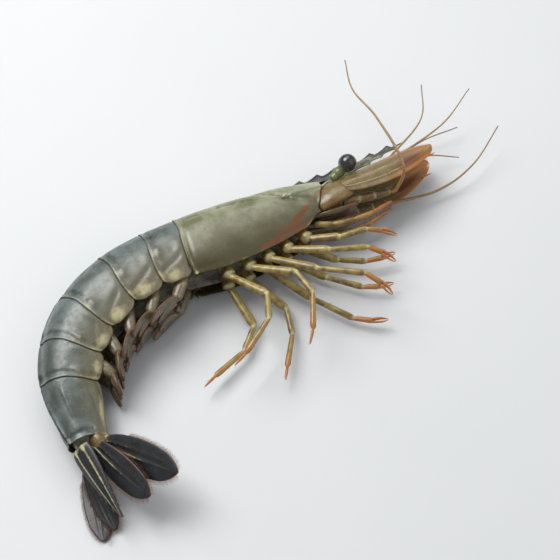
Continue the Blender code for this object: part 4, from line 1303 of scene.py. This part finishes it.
class PRAWN_OT_mouth(bpy.types.Operator):
    """Third jaw legs with their brushes, and the leaves that cover the mouth."""

    bl_idname = "prawn.mouth"
    bl_label = "Mouthparts"

    def execute(self, context):
        sizes = context.scene.prawn_sizes
        brush = new_mesh()
        leaves = new_mesh()
        for side, word in SIDES:
            count = 44
            path = path_through(mirrored(JAW_LEG_ROUTE, side), count)
            swell = [stalk_swell((0.0012, 0.0012, 0.0011, 0.0009, 0.0005), index, count) for index in range(count)]
            bm = new_mesh()
            tube(bm, path, [(radius, radius * 0.9) for radius in swell], UP, 14,
                 lambda share, turn: (0.3 * bell(share * 4 % 1.0, 0.0, 0.12), 0.75 * share, 0.2))
            put(f"jaw_limb_{word}", bm, leg_finish(context.scene), (f"jaw_leg_{word}",), smooth=0)
            hairs(brush, path, swell, 170, sizes.hair_length * 1.2, sizes.bristle_radius, 70 + side, (0.0, 0.2, 0.0))
            for number, route in enumerate(MOUTH_ROUTES):
                path = path_through(mirrored(route, side), 18)
                widths = [0.0016 * smooth_row(PADDLE_OUTLINE, index / 17)[0] for index in range(18)]
                across = body_frame(0.0)[3]
                blade(leaves, path, across, widths, mouth_relief, 8,
                      lambda share, x: (0.25 * bell(x, 0.0, 0.3), 0.22 + 0.30 * share, 0.2))
                edge, outward = blade_edge(path[6:], across, widths[6:], side)
                comb(brush, edge, outward, -body_frame(0.0)[1], 0.0003, sizes.hair_length, sizes.bristle_radius,
                     90 + side + number * 3, (0.0, 0.3, 0.0))
        put("mouth_leaves", leaves, swimmeret_finish(context.scene))
        put("mouth_brush", brush, bristle_finish(context.scene), smooth=0)
        return {"FINISHED"}


def paddle_relief(share, x):
    """Heights across a swimmeret paddle: thin edges, a rib and shallow flutes."""
    half = (0.0004 + 0.0005 * (1.0 - share)) * (0.20 + 0.80 * (1.0 - abs(x) ** 2.5))
    rib = 0.00022 * bell(x, 0.0, 0.16) * fade(share, 0.7, 1.0) + 0.00006 * cos(14.0 * x)
    return half + rib, -half - rib


def paddle_tones(share, x):
    """Cream rib and crimson edges and tip."""
    edge = bell(abs(x), 1.0, 0.13)
    return 0.34 * bell(x, 0.0, 0.16) * fade(share, 0.4, 1.0), min(1.0, 0.62 * edge + 0.30 * share**4), 0.30 * share


class PRAWN_OT_swimmerets(bpy.types.Operator):
    """Five pairs of swimmerets: stout stalks with a broad and a narrow fringed paddle."""

    bl_idname = "prawn.swimmerets"
    bl_label = "Swimmerets"

    def execute(self, context):
        sizes = context.scene.prawn_sizes
        finish = swimmeret_finish(context.scene)
        fringe = new_mesh()
        for number in range(5):
            start = THORAX_LENGTH + sum(SEGMENT_LENGTHS[:number])
            distance = start + SEGMENT_LENGTHS[number] * 0.46
            right = body_frame(distance)[3]
            for side, word in SIDES:
                offset = side * SWIMMERET_OFFSET * (1.0 - 0.07 * number)
                root = body_point(distance, channel_height(distance) - SWIMMERET_DEPTH, offset)
                stalk = swing_way(distance, -STALK_SWEEPS[number], 2.0, side)
                way = swing_way(distance, -PADDLE_SWEEPS[number], 5.0, side)
                knee = root + stalk * SWIMMERET_STALKS[number]
                reach = SWIMMERET_PADDLES[number]
                bm = new_mesh()
                path = [root.lerp(knee, share) for share in (-0.12, 0.0, 0.12, 0.3, 0.5, 0.7, 0.85, 0.95, 1.04)]
                widths = (0.0019, 0.0021, 0.0022, 0.0021, 0.0020, 0.0019, 0.0018, 0.0016, 0.0010)
                tube(bm, path, [(width * 0.75, width) for width in widths], right, 18,
                     lambda share, turn: (0.42 * bell(turn, side, 0.7) * fade(share, 0.3, 0.9), 0.30 * share**3, 0.25))
                for length, width, aside, spread in ((1.0, 0.0031, 0.0, 0.0), (0.72, 0.0021, -0.0011, -14.0)):
                    turned = (way * cos(radians(spread)) + right * side * sin(radians(spread))).normalized()
                    tip = knee + turned * reach * length + right * side * aside
                    base = knee + right * side * aside * 0.6
                    steps = 22
                    path = [base.lerp(tip, index / (steps - 1)) - stalk * 0.0012 * sin(pi * index / (steps - 1))
                            for index in range(steps)]
                    if spread:
                        path = [point + stalk * 0.0009 for point in path]
                    halves = [width * smooth_row(PADDLE_OUTLINE, index / (steps - 1))[0] for index in range(steps)]
                    blade(bm, path, right, halves, paddle_relief, 14, paddle_tones)
                    for edge_side in (1, -1):
                        edge, outward = blade_edge(path[5:], right, halves[5:], edge_side)
                        comb(fringe, edge, outward, turned, 0.00034, sizes.hair_length * 0.9, sizes.bristle_radius,
                             number * 9 + side + edge_side * 3 + 120, (0.15, 0.35, 0.0))
                put(f"swimmeret_paddle_{number + 1}_{word}", bm, finish,
                    (f"swimmeret_{number + 1}_{word}",), smooth=0)
        put("swimmeret_fringe", fringe, bristle_finish(context.scene), smooth=0)
        return {"FINISHED"}


# ---------------------------------------------------------------- tail fan

def fan_path(row, side, outline, count):
    """Path, across direction and half widths of a leaf of the tail fan."""
    root_height, root_offset, right_yaw, left_yaw, droop, length, half_width = row
    yaw = radians(right_yaw if side >= 0 else left_yaw)
    fan_start = ABDOMEN_END + MARGIN_LOBES[6] + FAN_GAP
    _, tailward, dorsal, right = body_frame(ABDOMEN_END + TAIL_LENGTH * 0.6)
    way = tailward * cos(yaw) + right * sin(yaw)
    root = body_point(fan_start, root_height, side * root_offset)
    root += way * half_width * outline[0][1] * abs(sin(yaw))
    shares = [index / (count - 1) for index in range(count)]
    path = [root + way * length * share - dorsal * droop * share * share for share in shares]
    return path, way.cross(dorsal), [half_width * smooth_row(outline, share)[0] for share in shares]


def uropod_relief(share, x):
    """Heights across a uropod leaf: two ribs that run to the tip, and a thin edge."""
    half = 0.00045 * (0.25 + 0.75 * (1.0 - abs(x) ** 3))
    dome = 0.00050 * (1.0 - x * x)
    ribs = 0.00038 * bell(x, 0.10, 0.09) + 0.00020 * bell(x, -0.32, 0.08)
    ribs *= fade(share, 0.75, 1.0)
    return dome + half + ribs, -half - 0.6 * ribs


def uropod_tones(share, x):
    """Cream ribs over dark leaves, a rusty edge and a pale root."""
    rib = (bell(x, 0.10, 0.07) + 0.6 * bell(x, -0.32, 0.05)) * fade(share, 0.25, 0.95)
    edge = bell(abs(x), 1.0, 0.07)
    return min(1.0, 0.62 * rib + 0.6 * fade(share, 0.0, 0.12)), min(1.0, 0.6 * edge + 0.35 * share**12), 0.0


def telson_relief(share, x):
    """Heights across the telson: a groove between two ridges, on a deep body."""
    half = 0.0013 * (1.0 - 0.55 * share) * (0.22 + 0.78 * (1.0 - abs(x) ** 2.2))
    groove = 0.00035 * bell(x, 0.0, 0.20) * fade(share, 0.7, 0.95)
    ridge = 0.00022 * bell(abs(x), 0.42, 0.14)
    return half - groove + ridge, -half


def telson_tones(share, x):
    """Cream ridges and root, rusty tip."""
    return 0.6 * bell(abs(x), 0.42, 0.12) + 0.5 * fade(share, 0.0, 0.12), 0.5 * share**8 + 0.3 * bell(abs(x), 1.0, 0.2), 0.0


class PRAWN_OT_tail_fan(bpy.types.Operator):
    """Telson and the two leaves of each uropod, with ribs, spines and fringe."""

    bl_idname = "prawn.tail_fan"
    bl_label = "Tail fan"

    def execute(self, context):
        sizes = context.scene.prawn_sizes
        finish = tail_finish(context.scene)
        count = 40
        fringe = new_mesh()
        path, across, widths = fan_path(TELSON, 0, TELSON_OUTLINE, count)
        bm = new_mesh()
        blade(bm, path, across, widths, lambda share, x: [-value for value in telson_relief(share, x)], 20,
              telson_tones)
        way = (path[-1] - path[0]).normalized()
        right = body_frame(ABDOMEN_END)[3]
        blocks = new_mesh()
        for side in (1, -1):
            for index in (22, 27, 32):
                root = path[index] + across * side * widths[index] * 0.85
                spine(bm, root, (way + across * side * 0.35).normalized(), 0.0018, 0.00028, way * 0.1,
                      (0.3, 0.5, 0.0), sides=6)
            block = [body_point(ABDOMEN_END + along, height, side * offset) for along, height, offset in UROPOD_ROOT]
            tube(blocks, block, [(wide, 0.8 * wide) for wide in (0.0018, 0.0026, 0.0029, 0.0027, 0.0018)], right, 20,
                 lambda share, turn: (0.35 * share, 0.35 * bell(share, 1.0, 0.2), 0.2 * bell(turn, -1.0, 0.5)))
        put("telson_blade", bm, finish, ("telson",))
        put("uropod_roots", blocks, scale_finish(context.scene))
        for side, word in SIDES:
            for row, kind in ((INNER_UROPOD, "inner"), (OUTER_UROPOD, "outer")):
                path, across, widths = fan_path(row, side, PADDLE_OUTLINE, count)
                bm = new_mesh()
                blade(bm, path, across, widths, lambda share, x: [-value for value in uropod_relief(share, side * x)],
                      26, lambda share, x: uropod_tones(share, side * x))
                put(f"tail_leaf_{kind}_{word}", bm, finish, (f"uropod_{kind}_{word}",))
                way = (path[-1] - path[0]).normalized()
                for edge_side in (1, -1):
                    edge, outward = blade_edge(path[12:], across, widths[12:], edge_side)
                    comb(fringe, edge, outward, way, 0.00016, sizes.fringe_length, sizes.bristle_radius,
                         200 + side + 3 * edge_side + len(kind), (0.0, 0.5, 0.0))
        put("tail_fringe", fringe, bristle_finish(context.scene), smooth=0)
        return {"FINISHED"}


# ---------------------------------------------------------------- stage

def view_axes():
    """Directions from the object to the camera, to the image's right and to its top."""
    turn, rise = radians(VIEW_AZIMUTH), radians(VIEW_ELEVATION)
    back = Vector((sin(turn) * cos(rise), -cos(turn) * cos(rise), sin(rise)))
    right = Vector((cos(turn), sin(turn), 0.0))
    return back, right, back.cross(right)


class PRAWN_OT_stage(bpy.types.Operator):
    """Pale floor, soft lights and the camera."""

    bl_idname = "prawn.stage"
    bl_label = "Stage"

    def execute(self, context):
        scene = context.scene
        back, right, top = view_axes()
        corners = []
        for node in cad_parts:
            low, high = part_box(node)
            corners += [Vector((x, y, z)) for x in (low.x, high.x) for y in (low.y, high.y) for z in (low.z, high.z)]
        spans = []
        for axis in (right, top):
            reaches = [corner.dot(axis) for corner in corners]
            spans.append((min(reaches), max(reaches)))
        extent = max(high - low for low, high in spans) * (1.0 + 2.0 * VIEW_MARGIN)
        aim = right * sum(spans[0]) / 2.0 + top * sum(spans[1]) / 2.0
        middle = sum(corners, Vector()) / len(corners)
        aim += back * middle.dot(back)

        lens = bpy.data.cameras.new("camera")
        lens.lens = VIEW_LENS
        lens.clip_start = 0.01
        distance = extent / (lens.sensor_width / lens.lens)
        camera = bpy.data.objects.new("camera", lens)
        camera.matrix_world = Matrix.Translation(aim + back * distance) @ Matrix((right, top, back)).transposed().to_4x4()
        scene.collection.objects.link(camera)
        scene.camera = camera

        lights = (
            ("key", -right * 0.42 + top * 0.36 + UP * 0.62, 0.55, 8.2),
            ("fill", right * 0.60 - top * 0.10 + UP * 0.55, 0.80, 1.1),
            ("rim", top * 0.75 + UP * 0.30, 0.50, 2.0),
        )
        for name, place, width, power in lights:
            lamp = bpy.data.lights.new(name, "AREA")
            lamp.size = width
            lamp.energy = power
            lamp.color = (1.0, 0.985, 0.96)
            light = bpy.data.objects.new(name, lamp)
            light.location = place
            light.rotation_euler = place.to_track_quat("Z", "Y").to_euler()
            scene.collection.objects.link(light)
        world = bpy.data.worlds.new("studio")
        world.use_nodes = True
        world.node_tree.nodes["Background"].inputs["Color"].default_value = (0.93, 0.96, 1.0, 1.0)
        world.node_tree.nodes["Background"].inputs["Strength"].default_value = 0.34
        scene.world = world
        scene.view_settings.view_transform = "Standard"

        bm = bmesh.new()
        bmesh.ops.create_grid(bm, x_segments=8, y_segments=8, size=2.0)
        mesh = bpy.data.meshes.new("floor")
        bm.to_mesh(mesh)
        bm.free()
        # Honed white stone: a soft sheen and faint grey clouds.
        stone = bpy.data.materials.new("honed_stone")
        stone.use_nodes = True
        tree = stone.node_tree
        place = add(tree, "ShaderNodeTexCoord").outputs["Object"]
        veins = add(tree, "ShaderNodeTexNoise", {"Vector": place, "Scale": per(0.12), "Detail": 5.0})
        look = add(tree, "ShaderNodeMix", {0: veins.outputs["Fac"], 6: (*linear("D6D8DA"), 1.0),
                                          7: (*linear("CDD0D3"), 1.0)}, data_type="RGBA")
        shader = tree.nodes["Principled BSDF"]
        tree.links.new(look.outputs[2], shader.inputs["Base Color"])
        shader.inputs["Roughness"].default_value = 0.55
        mesh.materials.append(stone)
        floor = bpy.data.objects.new("floor", mesh)
        scene.collection.objects.link(floor)
        floor.location.z = HEAD_LOW.z
        return {"FINISHED"}


class PRAWN_PT_panel(bpy.types.Panel):
    """Sizes, colours and build steps of the prawn."""

    bl_idname = "PRAWN_PT_panel"
    bl_label = "Raw Tiger Prawn"
    bl_space_type = "VIEW_3D"
    bl_region_type = "UI"
    bl_category = "Prawn"

    def draw(self, context):
        for group in (context.scene.prawn_sizes, context.scene.prawn_colours):
            box = self.layout.box()
            for key in group.bl_rna.properties.keys():
                if key not in ("rna_type", "name"):
                    box.prop(group, key)
        for operator in OPERATORS:
            self.layout.operator(operator.bl_idname)


OPERATORS = (
    PRAWN_OT_carapace,
    PRAWN_OT_abdomen,
    PRAWN_OT_flesh,
    PRAWN_OT_eyes,
    PRAWN_OT_scales,
    PRAWN_OT_feelers,
    PRAWN_OT_mouth,
    PRAWN_OT_legs,
    PRAWN_OT_swimmerets,
    PRAWN_OT_tail_fan,
    PRAWN_OT_stage,
)
CLASSES = (PrawnSizes, PrawnColours, *OPERATORS, PRAWN_PT_panel)


def register():
    for item in CLASSES:
        bpy.utils.register_class(item)
    bpy.types.Scene.prawn_sizes = PointerProperty(type=PrawnSizes)
    bpy.types.Scene.prawn_colours = PointerProperty(type=PrawnColours)


def unregister():
    del bpy.types.Scene.prawn_colours
    del bpy.types.Scene.prawn_sizes
    for item in reversed(CLASSES):
        bpy.utils.unregister_class(item)


def main():
    register()
    for operator in OPERATORS:
        group, name = operator.bl_idname.split(".")
        getattr(getattr(bpy.ops, group), name)()


if __name__ == "__main__":
    main()
